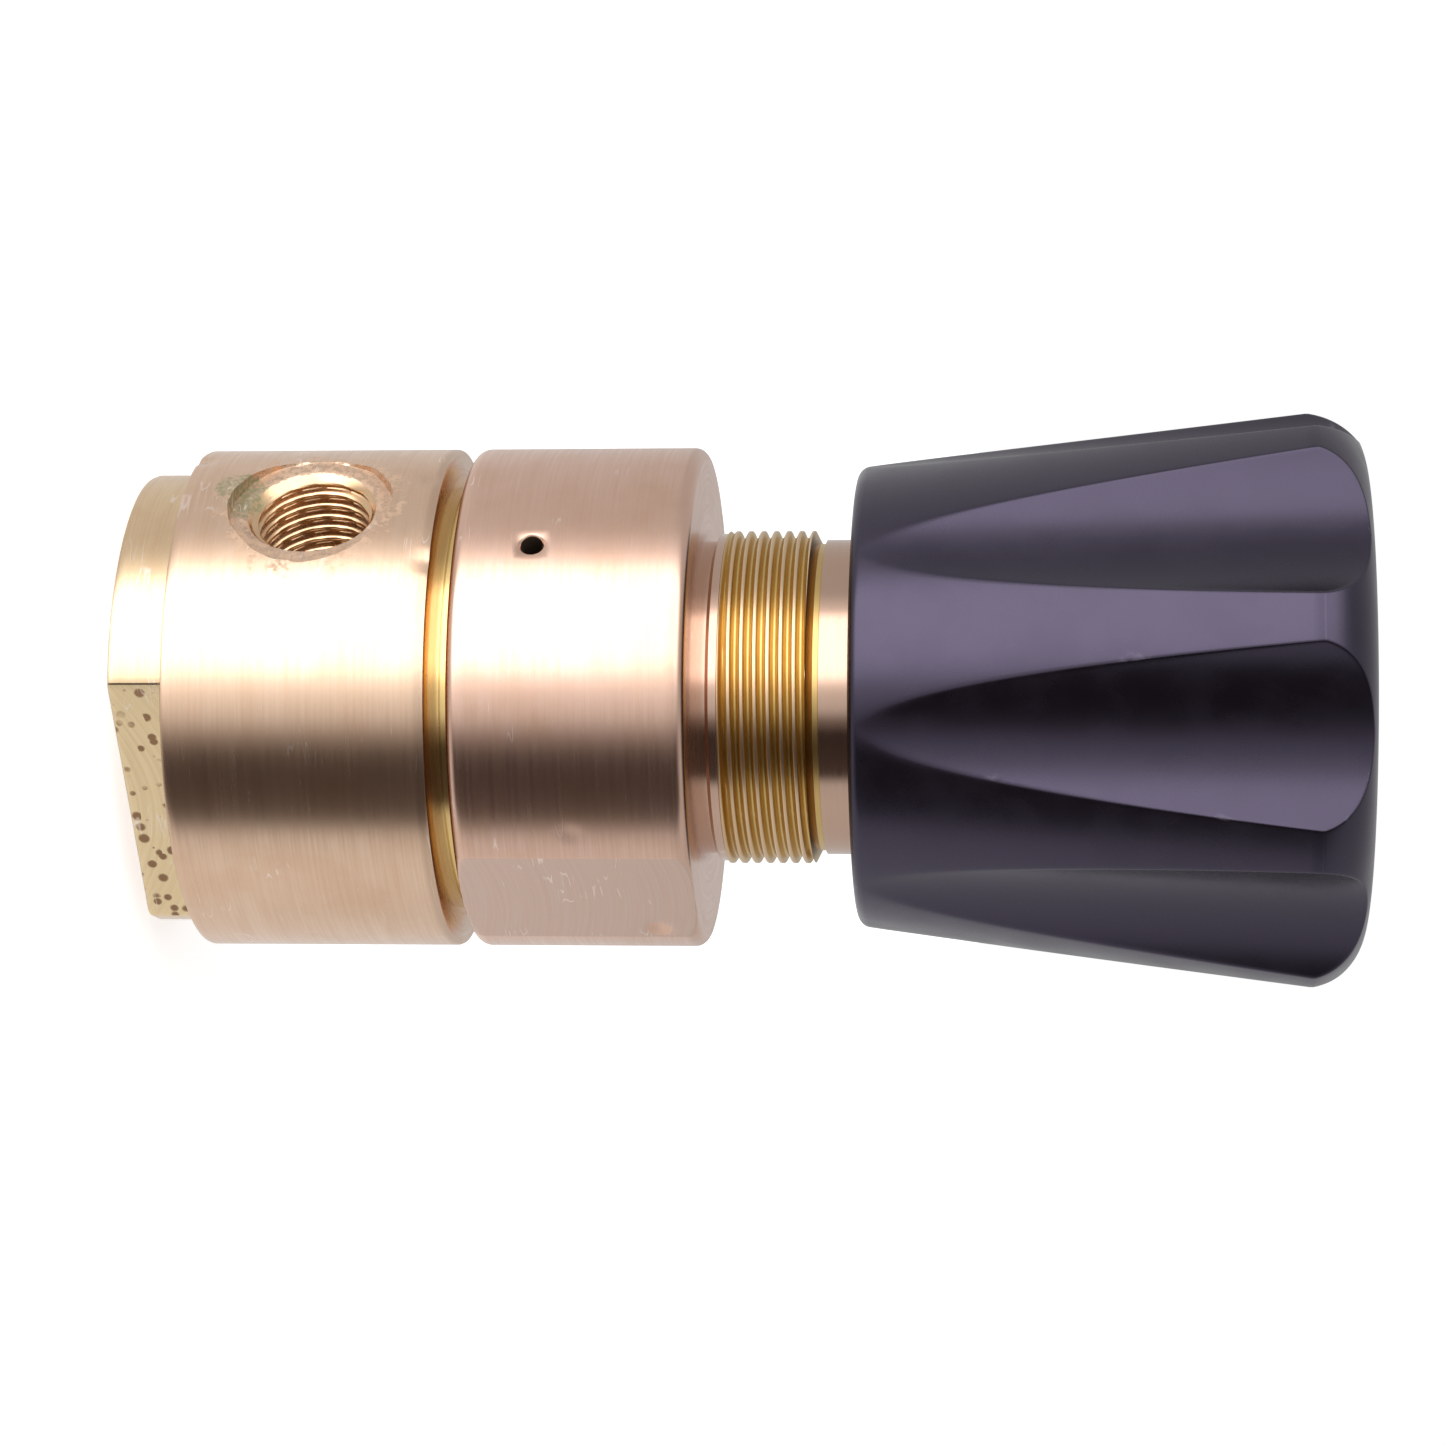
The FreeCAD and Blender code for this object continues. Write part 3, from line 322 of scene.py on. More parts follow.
class Turned:
    """A turned sub-part whose wall may carry flats, threads and windows."""

    radius: float
    windows: Sequence[Window] = ()
    inks: dict[Zone, int] = {}
    shared_angles: Sequence[float] = ()
    shared_outline: Sequence[Stop] = ()

    def angles(self, stop: Stop) -> Sequence[float]:
        """The angles of the points at one level, as many at every level."""
        return self.shared_angles

    def reach(self, angle: float, stop: Stop) -> float:
        """The radius at an angle of one level."""
        raise NotImplementedError

    def lathe(self, skin: Skin, stops: Sequence[Stop], joined: bool) -> list[list[int]]:
        """Turn an outline into rings of faces, leaving the windows open.

        Args:
            skin: The mesh to add to.
            stops: The outline.
            joined: True when the last level joins the first.

        Returns:
            The rings' point numbers.
        """
        rings = []
        for stop in stops:
            spots = []
            for angle in self.angles(stop):
                flat = heading(angle) * self.reach(angle, stop)
                spots.append(flat + UP * stop.height)
            rings.append(skin.ring(spots))
        open_cells = self.open_cells(skin, rings)
        last = len(rings) if joined else len(rings) - 1
        for level in range(last):
            above = rings[(level + 1) % len(rings)]
            ink = self.inks.get(stops[level].zone, 0)
            for here in range(len(above)):
                if (level, here) in open_cells:
                    continue
                there = (here + 1) % len(above)
                below = rings[level]
                skin.face((below[here], below[there], above[there], above[here]), ink)
        return rings

    def open_cells(self, skin: Skin, rings: Sequence[Sequence[int]]) -> set[tuple[int, int]]:
        """The cells inside a window, after filling each window with its hole."""
        cells: set[tuple[int, int]] = set()
        for window in self.windows:
            low, high = self.window_levels(window)
            left, right = self.window_columns(window)
            cells |= {(i, j) for i in range(low, high) for j in range(left, right)}
            border = [rings[low][j] for j in range(left, right)]
            border += [rings[i][right] for i in range(low, high)]
            border += [rings[high][j] for j in range(right, left, -1)]
            border += [rings[i][left] for i in range(high, low, -1)]
            self.fill_window(skin, window, border)
        return cells

    def window_levels(self, window: Window) -> tuple[int, int]:
        """The numbers of the levels at a window's lower and upper side."""
        walls = [(k, s) for k, s in enumerate(self.shared_outline) if s.zone is Zone.BARREL]
        sides = (window.height - window.half, window.height + window.half)
        picks = [min(walls, key=lambda item: abs(item[1].height - side)) for side in sides]
        return picks[0][0], picks[1][0]

    def window_columns(self, window: Window) -> tuple[int, int]:
        """The numbers of the columns at a window's two other sides."""
        angles = self.angles(self.shared_outline[0])
        wide = math.asin(window.half / self.radius)
        picks = []
        for side in (window.angle - wide, window.angle + wide):
            gaps = [abs(math.remainder(angle - side, 2.0 * math.pi)) for angle in angles]
            picks.append(gaps.index(min(gaps)))
        return picks[0], picks[1]

    def fill_window(self, skin: Skin, window: Window, border: list[int]) -> None:
        """Fill one window with its hole."""
        raise NotImplementedError

    def sink(self, skin: Skin, window: Window, border: list[int],
             levels: Iterable[HoleLevel]) -> list[int]:
        """Lead a window's square border into a round hole.

        Args:
            skin: The mesh to add to.
            window: The window.
            border: The point numbers of its border.
            levels: The hole's rings, from the wall inwards.

        Returns:
            The last ring's point numbers.
        """
        outward = heading(window.angle)
        sideways = UP.cross(outward)
        turns = []
        spans = []
        for number in border:
            point = skin.points[number]
            side = point.dot(sideways)
            rise = point.z - window.height
            turns.append(math.atan2(rise, side))
            spans.append(math.hypot(side, rise))
        ring = border
        wall = self.radius
        for level in levels:
            spots = []
            for turn, span in zip(turns, spans):
                radius, depth = level.at(turn, span)
                side = radius * math.cos(turn)
                out = math.sqrt(wall ** 2 - side ** 2)
                if depth is not None:
                    out = depth
                spot = outward * out + sideways * side
                spots.append(spot + UP * (window.height + radius * math.sin(turn)))
            fresh = skin.ring(spots)
            skin.bridge(ring, fresh, level.ink)
            ring = fresh
        return ring


@dataclass
class RegulatorBody(Turned):
    """The high-pressure body: a round bar with three threaded cross ports."""

    finishes: Sequence[bpy.types.Material]
    radius: float = 26.2 * MM
    bottom: float = 6.0 * MM
    top: float = 32.8 * MM
    edge: float = 0.4 * MM
    break_in: float = 0.12 * MM
    boss_radius: float = 22.2 * MM
    boss_floor: float = 27.3 * MM
    guide_radius: float = 12.5 * MM
    guide_floor: float = 25.4 * MM
    chamber_radius: float = 8.0 * MM
    web_top: float = 22.8 * MM
    throat_radius: float = 3.2 * MM
    seat_top: float = 21.8 * MM
    seat_radius: float = 7.0 * MM
    seat_floor: float = 20.0 * MM
    valve_radius: float = 9.0 * MM
    valve_floor: float = 14.0 * MM
    spigot_radius: float = 11.5 * MM
    port_height: float = 19.5 * MM
    port_angles: tuple[float, ...] = (180.0, 0.0, 90.0)
    port_radius: float = 5.6 * MM
    port_bevel: float = 1.05 * MM
    port_face: float = 24.7 * MM
    port_floor: float = 14.0 * MM
    spotface_radius: float = 8.45 * MM
    window_half: float = 9.6 * MM
    rim_wander: float = 0.22 * MM
    drill_point: float = 2.4 * MM
    pipe_steps: int = 15
    pipe_pitch: float = 1.411 * MM
    pipe_depth: float = 0.72 * MM
    pocket_radius: float = 4.6 * MM
    pocket_floor: float = 11.6 * MM
    wall_step: float = 0.85 * MM
    seam: float = math.radians(-90.0)
    inks: dict[Zone, int] = field(default_factory=lambda: {Zone.PIPE_THREAD: 1})
    dents: tuple[Dent, ...] = (
        Dent(math.radians(160.0), 6.6 * MM, 0.9 * MM, 0.35 * MM),
        Dent(math.radians(199.0), 32.3 * MM, 0.8 * MM, 0.25 * MM),
        Dent(math.radians(172.0), 31.9 * MM, 0.6 * MM, 0.30 * MM),
        Dent(math.radians(208.5), 24.6 * MM, 0.7 * MM, 0.10 * MM),
        Dent(math.radians(70.0), 6.7 * MM, 0.9 * MM, 0.25 * MM),
    )

    def __post_init__(self) -> None:
        """Set the windows, and the outline and angles that every ring shares."""
        self.windows = [
            Window(math.radians(angle), self.port_height, self.window_half)
            for angle in self.port_angles
        ]
        wide = math.asin(self.window_half / self.radius)
        keys = [window.angle + side for window in self.windows for side in (-wide, wide)]
        self.shared_angles = fan_angles(self.seam, keys, self.wall_step / self.radius)
        self.shared_outline = self.draw()

    def draw(self) -> list[Stop]:
        """The outline, from the bottom face up the wall and back down the bores."""
        low = self.port_height - self.window_half
        high = self.port_height + self.window_half
        wall = Zone.BARREL
        corners = [
            Stop(self.spigot_radius, self.bottom),
            Stop(self.radius - self.edge, self.bottom),
            Stop(self.radius - self.break_in, self.bottom + self.break_in),
            Stop(self.radius, self.bottom + self.edge, wall),
            Stop(self.radius, low, wall),
            Stop(self.radius, high, wall),
            Stop(self.radius, self.top - self.edge, wall),
            Stop(self.radius - self.break_in, self.top - self.break_in),
            Stop(self.radius - self.edge, self.top),
            Stop(self.boss_radius, self.top),
            Stop(self.boss_radius, self.boss_floor),
            Stop(self.guide_radius, self.boss_floor),
            Stop(self.guide_radius, self.guide_floor),
            Stop(self.chamber_radius, self.guide_floor),
            Stop(self.chamber_radius, self.web_top),
            Stop(self.throat_radius, self.web_top),
            Stop(self.throat_radius, self.seat_top),
            Stop(self.seat_radius, self.seat_top),
            Stop(self.seat_radius, self.seat_floor),
            Stop(self.valve_radius, self.seat_floor),
            Stop(self.valve_radius, self.valve_floor),
            Stop(self.spigot_radius, self.valve_floor),
        ]
        return divided(corners, {Zone.PLAIN: 30.0 * MM, Zone.BARREL: self.wall_step})

    def reach(self, angle: float, stop: Stop) -> float:
        """The radius, less any nick near the wall."""
        if stop.radius < self.radius - self.edge - CLOSE:
            return stop.radius
        depth = sum(dent.at(angle, stop.height, stop.radius) for dent in self.dents)
        return stop.radius - depth

    def fill_window(self, skin: Skin, window: Window, border: list[int]) -> None:
        """Set a spotfaced, bevelled and threaded port in a window.

        Args:
            skin: The mesh to add to.
            window: The port's place.
            border: The point numbers of the window's border.
        """
        mouth = self.port_radius + self.port_bevel
        rim = self.spotface_radius
        rough = self.rim_wander
        levels = [HoleLevel(rim + 0.15 * MM, share=s, rough=rough) for s in (0.4, 0.8, 1.0)]
        levels += [
            HoleLevel(rim, share=1.0, rough=rough),
            HoleLevel(rim - 0.12 * MM, self.port_face + 0.06 * MM, rough=rough),
            HoleLevel(rim - 0.3 * MM, self.port_face, rough=rough),
            HoleLevel(rim - 0.9 * MM, self.port_face),
            HoleLevel(mouth + 0.08 * MM, self.port_face),
            HoleLevel(mouth - 0.08 * MM, self.port_face - 0.1 * MM),
        ]
        length = self.port_face - self.port_bevel * 0.62 - self.port_floor
        count = round(length / self.pipe_pitch * self.pipe_steps)
        for number in range(count + 1):
            distance = self.port_floor + length * (1.0 - number / count)
            fade = smooth_step(0.0, 1.2 * MM, distance - self.port_floor)
            bevel = max(0.0, distance - (self.port_face - self.port_bevel))
            cut = max(0.0, self.pipe_depth * fade - bevel)
            levels.append(HoleLevel(
                self.port_radius + bevel,
                distance,
                thread_depth=cut,
                thread_pitch=self.pipe_pitch,
                ink=self.inks[Zone.PIPE_THREAD],
            ))
        ring = self.sink(skin, window, border, levels)
        ink = self.inks[Zone.PIPE_THREAD]
        outward = heading(window.angle)
        centre = outward * self.port_floor + UP * window.height
        if window is self.windows[0]:
            inner = [
                HoleLevel(self.pocket_radius, self.port_floor, ink=ink),
                HoleLevel(self.pocket_radius, self.pocket_floor, ink=ink),
            ]
            ring = self.sink(skin, window, ring, inner)
            centre = outward * self.pocket_floor + UP * window.height
        else:
            centre = centre - outward * self.drill_point
        skin.close(ring, centre, ink)

    def build(self) -> bpy.types.Object:
        """Build the body's mesh."""
        skin = Skin()
        self.lathe(skin, self.shared_outline, joined=True)
        return skin.to_piece("body_shell", self.finishes, sharp=38.0)


def flat_edges(flats: Sequence[float], half: float, turns: Sequence[float]) -> list[float]:
    """The angles of the columns at and beside the edges of wrench flats.

    Args:
        flats: The angles that the flats face.
        half: Half the angle that a flat spans.
        turns: How far from the edge each column is, in degrees.

    Returns:
        The angles in radians.
    """
    return [
        flat + side * half + math.radians(turn)
        for flat in flats
        for side in (-1, 1)
        for turn in turns
    ]


def flat_reach(angle: float, radius: float, flats: Sequence[float], distance: float) -> float:
    """The radius of a round bar with wrench flats.

    Args:
        angle: The angle about the axis.
        radius: The bar's radius.
        flats: The angles that the flats face.
        distance: The flats' distance from the axis.

    Returns:
        The radius at that angle, with a slightly broken edge at each flat.
    """
    for flat in flats:
        facing = math.cos(angle - flat)
        if facing > 0.5:
            radius = soft_min(radius, distance / facing, 0.06 * MM)
    return radius


@dataclass
class Bonnet(Turned):
    """The spring housing: a bar with two flats, a vent and a long threaded neck."""

    finishes: Sequence[bpy.types.Material]
    radius: float = 26.2 * MM
    boss_radius: float = 22.2 * MM
    boss_bottom: float = 27.5 * MM
    groove_height: float = 33.75 * MM
    groove_half: float = 0.12 * MM
    groove_depth: float = 0.45 * MM
    bottom: float = 34.8 * MM
    shoulder: float = 58.8 * MM
    edge: float = 1.25 * MM
    undercut_radius: float = 16.4 * MM
    undercut_top: float = 59.9 * MM
    collar_radius: float = 17.2 * MM
    thread_bottom: float = 61.1 * MM
    thread_top: float = 70.1 * MM
    thread_radius: float = 17.46 * MM
    thread_pitch: float = 1.335 * MM
    thread_depth: float = 0.74 * MM
    crest_height: float = 62.0 * MM
    crest_angle: float = math.radians(140.0)
    relief_radius: float = 16.1 * MM
    relief_top: float = 71.3 * MM
    neck_radius: float = 16.5 * MM
    neck_top: float = 92.0 * MM
    neck_edge: float = 0.6 * MM
    screw_bore: float = 6.35 * MM
    ball_bore: float = 9.0 * MM
    ball_bore_top: float = 78.0 * MM
    spring_bore: float = 13.2 * MM
    spring_bore_top: float = 74.0 * MM
    flange_bore: float = 16.05 * MM
    flange_top: float = 28.8 * MM
    flat_distance: float = 25.15 * MM
    flat_angles: tuple[float, ...] = (BONNET_FLAT, BONNET_FLAT - math.pi)
    vent_angle: float = math.radians(194.4)
    vent_height: float = 42.95 * MM
    vent_radius: float = 1.1 * MM
    vent_bevel: float = 0.25 * MM
    vent_floor: float = 16.0 * MM
    window_half: float = 2.6 * MM
    wall_step: float = 0.65 * MM
    seam: float = math.radians(-30.0)
    inks: dict[Zone, int] = field(
        default_factory=lambda: {Zone.PANEL_THREAD: 1, Zone.NECK: 2, Zone.BOSS: 3, Zone.BORE: 4})
    dents: tuple[Dent, ...] = (
        Dent(math.radians(262.0), 47.0 * MM, 0.8 * MM, 0.06 * MM),
        Dent(math.radians(298.0), 54.6 * MM, 0.9 * MM, 0.16 * MM),
        Dent(math.radians(120.0), 35.4 * MM, 1.0 * MM, 0.20 * MM),
    )

    def __post_init__(self) -> None:
        """Set the window, and the outline and angles that every ring shares."""
        self.windows = [Window(self.vent_angle, self.vent_height, self.window_half)]
        wide = math.asin(self.window_half / self.radius)
        half = math.acos(self.flat_distance / self.radius)
        keys = [self.vent_angle - wide, self.vent_angle + wide]
        keys += flat_edges(self.flat_angles, half, (-0.5, -0.25, 0.0, 0.25, 0.5))
        self.shared_angles = fan_angles(self.seam, keys, self.wall_step / self.radius)
        self.shared_outline = self.draw()

    def groove(self) -> list[Stop]:
        """The corners of the fine groove round the boss."""
        floor = self.boss_radius - self.groove_depth
        low = self.groove_height - self.groove_half
        high = self.groove_height + self.groove_half
        spots = ((self.boss_radius, low), (floor, low), (floor, high), (self.boss_radius, high))
        return [Stop(radius, height, Zone.BOSS) for radius, height in spots]

    def draw(self) -> list[Stop]:
        """The outline, from the boss up the outside and back down the bores."""
        wall = Zone.BARREL
        thread = Zone.PANEL_THREAD
        neck = Zone.NECK
        inner = self.radius - self.edge
        corners = [
            Stop(self.flange_bore, self.boss_bottom),
            Stop(self.boss_radius, self.boss_bottom, Zone.BOSS),
            *self.groove(),
            Stop(self.boss_radius, self.bottom, Zone.BOSS),
            Stop(inner, self.bottom, wall),
        ]
        corners += arc((inner, self.bottom + self.edge), self.edge, -90.0, 0.0, wall, 8)[1:]
        corners += [
            Stop(self.radius, self.vent_height - self.window_half, wall),
            Stop(self.radius, self.vent_height + self.window_half, wall),
        ]
        corners += arc((inner, self.shoulder - self.edge), self.edge, 0.0, 90.0, wall, 8)
        rise = self.collar_radius - self.undercut_radius
        corners[-1] = Stop(inner, self.shoulder)
        corners += [
            Stop(self.undercut_radius, self.shoulder, neck),
            Stop(self.undercut_radius, self.undercut_top, neck),
            Stop(self.collar_radius, self.undercut_top + rise / 2.0, neck),
            Stop(self.collar_radius, self.thread_bottom, thread),
            Stop(self.thread_radius, self.thread_bottom + 0.1 * MM, thread),
            Stop(self.thread_radius, self.thread_top, thread),
            Stop(self.relief_radius, self.thread_top + 0.68 * MM, thread),
            Stop(self.relief_radius, self.relief_top, neck),
            Stop(self.neck_radius, self.relief_top + 0.12 * MM, neck),
            Stop(self.neck_radius, self.neck_top - self.neck_edge),
            Stop(self.neck_radius - self.neck_edge, self.neck_top),
            Stop(self.screw_bore, self.neck_top),
            Stop(self.screw_bore, self.ball_bore_top),
            Stop(self.ball_bore, self.ball_bore_top),
            Stop(self.ball_bore, self.spring_bore_top),
            Stop(self.spring_bore, self.spring_bore_top),
            Stop(self.spring_bore, self.flange_top),
            Stop(self.flange_bore, self.flange_top),
        ]
        longest = {
            Zone.PLAIN: 60.0 * MM,
            Zone.BARREL: self.wall_step,
            Zone.NECK: 2.0 * MM,
            Zone.BOSS: 2.0 * MM,
            Zone.PANEL_THREAD: self.thread_pitch / 18.0,
        }
        return divided(corners, longest)

    def reach(self, angle: float, stop: Stop) -> float:
        """The radius with the flats, the nicks and the thread taken off."""
        on_barrel = self.bottom - CLOSE <= stop.height <= self.shoulder + CLOSE
        if on_barrel and stop.radius > self.boss_radius + CLOSE:
            radius = flat_reach(angle, stop.radius, self.flat_angles, self.flat_distance)
            return radius - sum(d.at(angle, stop.height, radius) for d in self.dents)
        if abs(stop.radius - self.thread_radius) > CLOSE:
            return stop.radius
        turns = (stop.height - self.crest_height) / self.thread_pitch
        turns -= (angle - self.crest_angle) / (2.0 * math.pi)
        fade = smooth_step(0.0, 0.9 * MM, stop.height - self.thread_bottom)
        depth = self.thread_depth * fade
        return stop.radius - depth * (1.0 - thread_form(turns))

    def fill_window(self, skin: Skin, window: Window, border: list[int]) -> None:
        """Drill the bevelled vent in its window.

        Args:
            skin: The mesh to add to.
            window: The vent's place.
            border: The point numbers of the window's border.
        """
        mouth = self.vent_radius + self.vent_bevel
        # The vent's walls take the dark bore brass, which is painted shade.
        ink = self.inks[Zone.BORE]
        levels = [HoleLevel(mouth + 0.06 * MM, share=s) for s in (0.5, 1.0)]
        levels += [
            HoleLevel(mouth, self.radius - 0.05 * MM),
            HoleLevel(self.vent_radius + 0.03 * MM, self.radius - self.vent_bevel),
            HoleLevel(self.vent_radius, self.radius - self.vent_bevel - 0.05 * MM, ink=ink),
            HoleLevel(self.vent_radius, self.vent_floor, ink=ink),
        ]
        ring = self.sink(skin, window, border, levels)
        centre = heading(window.angle) * (self.vent_floor - 0.5 * MM) + UP * window.height
        skin.close(ring, centre, ink)

    def build(self) -> bpy.types.Object:
        """Build the bonnet's mesh."""
        skin = Skin()
        self.lathe(skin, self.shared_outline, joined=True)
        return skin.to_piece("bonnet_shell", self.finishes, sharp=50.0)


@dataclass
class BottomCap(Turned):
    """The cap that the regulator stands on, with two wrench flats and a spigot."""

    finishes: Sequence[bpy.types.Material]
    radius: float = 23.65 * MM
    height: float = 6.0 * MM
    edge: float = 0.5 * MM
    break_in: float = 0.14 * MM
    hub_radius: float = 0.5 * MM
    broad_face: float = 16.65 * MM
    flat_distance: float = 18.25 * MM
    flat_angles: tuple[float, ...] = (CAP_FLAT, CAP_FLAT - math.pi)
    spigot_radius: float = 11.5 * MM
    spigot_top: float = 14.0 * MM
    spring_bore: float = 5.0 * MM
    spring_floor: float = 8.0 * MM
    wall_step: float = 0.6 * MM
    seam: float = math.radians(-30.0)

    def __post_init__(self) -> None:
        """Set the outline and angles that every ring shares."""
        half = math.acos(self.flat_distance / self.radius)
        keys = flat_edges(self.flat_angles, half, (-0.35, 0.0, 0.35))
        self.shared_angles = fan_angles(self.seam, keys, self.wall_step / self.radius)
        self.shared_outline = self.draw()

    def draw(self) -> list[Stop]:
        """The outline, from near the axis below round to near the axis above."""
        wall = Zone.BARREL
        corners = [
            Stop(self.hub_radius, 0.0),
            Stop(self.broad_face, 0.0),
            Stop(self.radius - self.edge, 0.0),
            Stop(self.radius - self.break_in, self.break_in),
            Stop(self.radius, self.edge, wall),
            Stop(self.radius, self.height),
            Stop(self.spigot_radius, self.height),
            Stop(self.spigot_radius, self.spigot_top),
            Stop(self.spring_bore, self.spigot_top),
            Stop(self.spring_bore, self.spring_floor),
            Stop(self.hub_radius, self.spring_floor),
        ]
        return divided(corners, {Zone.PLAIN: 30.0 * MM, Zone.BARREL: self.wall_step})

    def reach(self, angle: float, stop: Stop) -> float:
        """The radius with the flats taken off, their lower edge broken like the rim."""
        if stop.radius < self.flat_distance - self.edge:
            return stop.radius
        inset = self.radius - stop.radius
        distance = self.flat_distance - 0.5 * inset
        return flat_reach(angle, stop.radius, self.flat_angles, distance)

    def build(self) -> bpy.types.Object:
        """Build the cap's mesh."""
        skin = Skin()
        rings = self.lathe(skin, self.shared_outline, joined=False)
        skin.close(rings[0], Vector((0.0, 0.0, 0.0)), 0)
        skin.close(rings[-1], UP * self.spring_floor, 0)
        return skin.to_piece("cap_shell", self.finishes, sharp=38.0)


@dataclass
class Knob(Turned):
    """The hollow tapered knob with eight leaning flutes."""

    finishes: Sequence[bpy.types.Material]
    base: float = 74.75 * MM
    top: float = 126.9 * MM
    small_radius: float = 23.95 * MM
    large_radius: float = 30.32 * MM
    base_round: float = 1.3 * MM
    crease: float = 121.4 * MM
    crease_depth: float = 0.05 * MM
    crease_width: float = 0.14 * MM
    rim_lean: float = 1.13 * MM
    rim_round: float = 6.8 * MM
    turned: float = math.radians(13.0)
    flutes: int = 8
    cutter_radius: float = 17.8 * MM
    flute_start: float = 2.0 * MM
    flute_floor: float = 24.223 * MM
    flute_lean: float = 0.0447
    edge_round: float = 0.16 * MM
    cavity_radius: float = 18.0 * MM
    cavity_roof: float = 101.0 * MM
    insert_radius: float = 11.5 * MM
    insert_top: float = 114.0 * MM
    recess_radius: float = 14.0 * MM
    cap_radius: float = 15.0 * MM
    cap_seat: float = 125.3 * MM
    row_step: float = 1.1 * MM
    flute_steps: int = 26
    land_steps: int = 14

    def __post_init__(self) -> None:
        """Set the outline that every ring shares."""
        self.shared_outline = self.draw()

    def cone_radius(self, height: float) -> float:
        """The cone's radius at a height."""
        share = (height - self.base) / (self.crease - self.base)
        return self.small_radius + (self.large_radius - self.small_radius) * share

    def draw(self) -> list[Stop]:
        """The outline, from the base out and up to the top, and back down inside."""
        wall = Zone.BARREL
        slope = math.atan((self.large_radius - self.small_radius) / (self.crease - self.base))
        lean = math.degrees(slope)
        low = self.base + self.base_round
        rise = self.base_round * math.sin(slope)
        inner = self.cone_radius(low + rise) - self.base_round * math.cos(slope)
        corners = [Stop(self.cavity_radius, self.base), Stop(inner, self.base)]
        corners += arc((inner, low), self.base_round, -90.0, -lean, wall, 8)[1:]
        below = self.crease - self.crease_width
        corners.append(Stop(self.cone_radius(below), below, wall))
        corners.append(Stop(self.large_radius - self.crease_depth, self.crease, wall))
        high = self.top - self.rim_round
        inward = math.atan(self.rim_lean / (self.top - self.crease))
        centre = self.large_radius + (self.crease - high) * math.tan(inward)
        centre -= self.rim_round / math.cos(inward)
        corners += arc((centre, high), self.rim_round, math.degrees(inward), 90.0, wall, 40)
        corners[-1] = Stop(centre, self.top)
        corners += [
            Stop(self.cap_radius + 0.05 * MM, self.top),
            Stop(self.cap_radius + 0.05 * MM, self.cap_seat),
            Stop(self.recess_radius, self.cap_seat),
            Stop(self.recess_radius, self.insert_top),
            Stop(self.insert_radius, self.insert_top),
            Stop(self.insert_radius, self.cavity_roof),
            Stop(self.cavity_radius, self.cavity_roof),
        ]
        return divided(corners, {Zone.PLAIN: 60.0 * MM, Zone.BARREL: self.row_step})

    def cutter_distance(self, height: float) -> float:
        """The distance of the flute cutter's axis from the knob's at a height."""
        rise = height - self.base - self.flute_start
        return self.flute_floor + self.flute_lean * rise + self.cutter_radius

    def flute_half(self, stop: Stop) -> float:
        """Half the angle that a flute spans at one level."""
        narrowest = math.radians(1.2)
        if stop.zone is not Zone.BARREL:
            return math.radians(9.0)
        far = self.cutter_distance(stop.height)
        reach = stop.radius ** 2 + far ** 2 - self.cutter_radius ** 2
        cosine = reach / (2.0 * stop.radius * far)
        if cosine >= 1.0:
            return narrowest
        return max(narrowest, math.acos(cosine))

    def angles(self, stop: Stop) -> list[float]:
        """Angles that follow the flutes' edges, closer together near them."""
        half = self.flute_half(stop)
        sector = 2.0 * math.pi / self.flutes
        angles = []
        for flute in range(self.flutes):
            middle = self.turned + flute * sector
            for step in range(self.flute_steps):
                share = math.sin(math.pi * (step / self.flute_steps - 0.5))
                angles.append(middle + half * share)
            land = sector / 2.0 - half
            for step in range(self.land_steps):
                share = math.sin(math.pi * (step / self.land_steps - 0.5))
                angles.append(middle + sector / 2.0 + land * share)
        return angles

    def reach(self, angle: float, stop: Stop) -> float:
        """The radius with the nearest flute cut in."""
        if stop.zone is not Zone.BARREL:
            return stop.radius
        sector = 2.0 * math.pi / self.flutes
        turn = math.remainder(angle - self.turned, sector)
        far = self.cutter_distance(stop.height)
        inside = self.cutter_radius ** 2 - (far * math.sin(turn)) ** 2
        if inside <= 0.0:
            return stop.radius
        floor = far * math.cos(turn) - math.sqrt(inside)
        return soft_min(stop.radius, floor, self.edge_round)

    def build(self) -> bpy.types.Object:
        """Build the knob's mesh."""
        skin = Skin()
        self.lathe(skin, self.shared_outline, joined=True)
        return skin.to_piece("knob_shell", self.finishes, sharp=55.0)


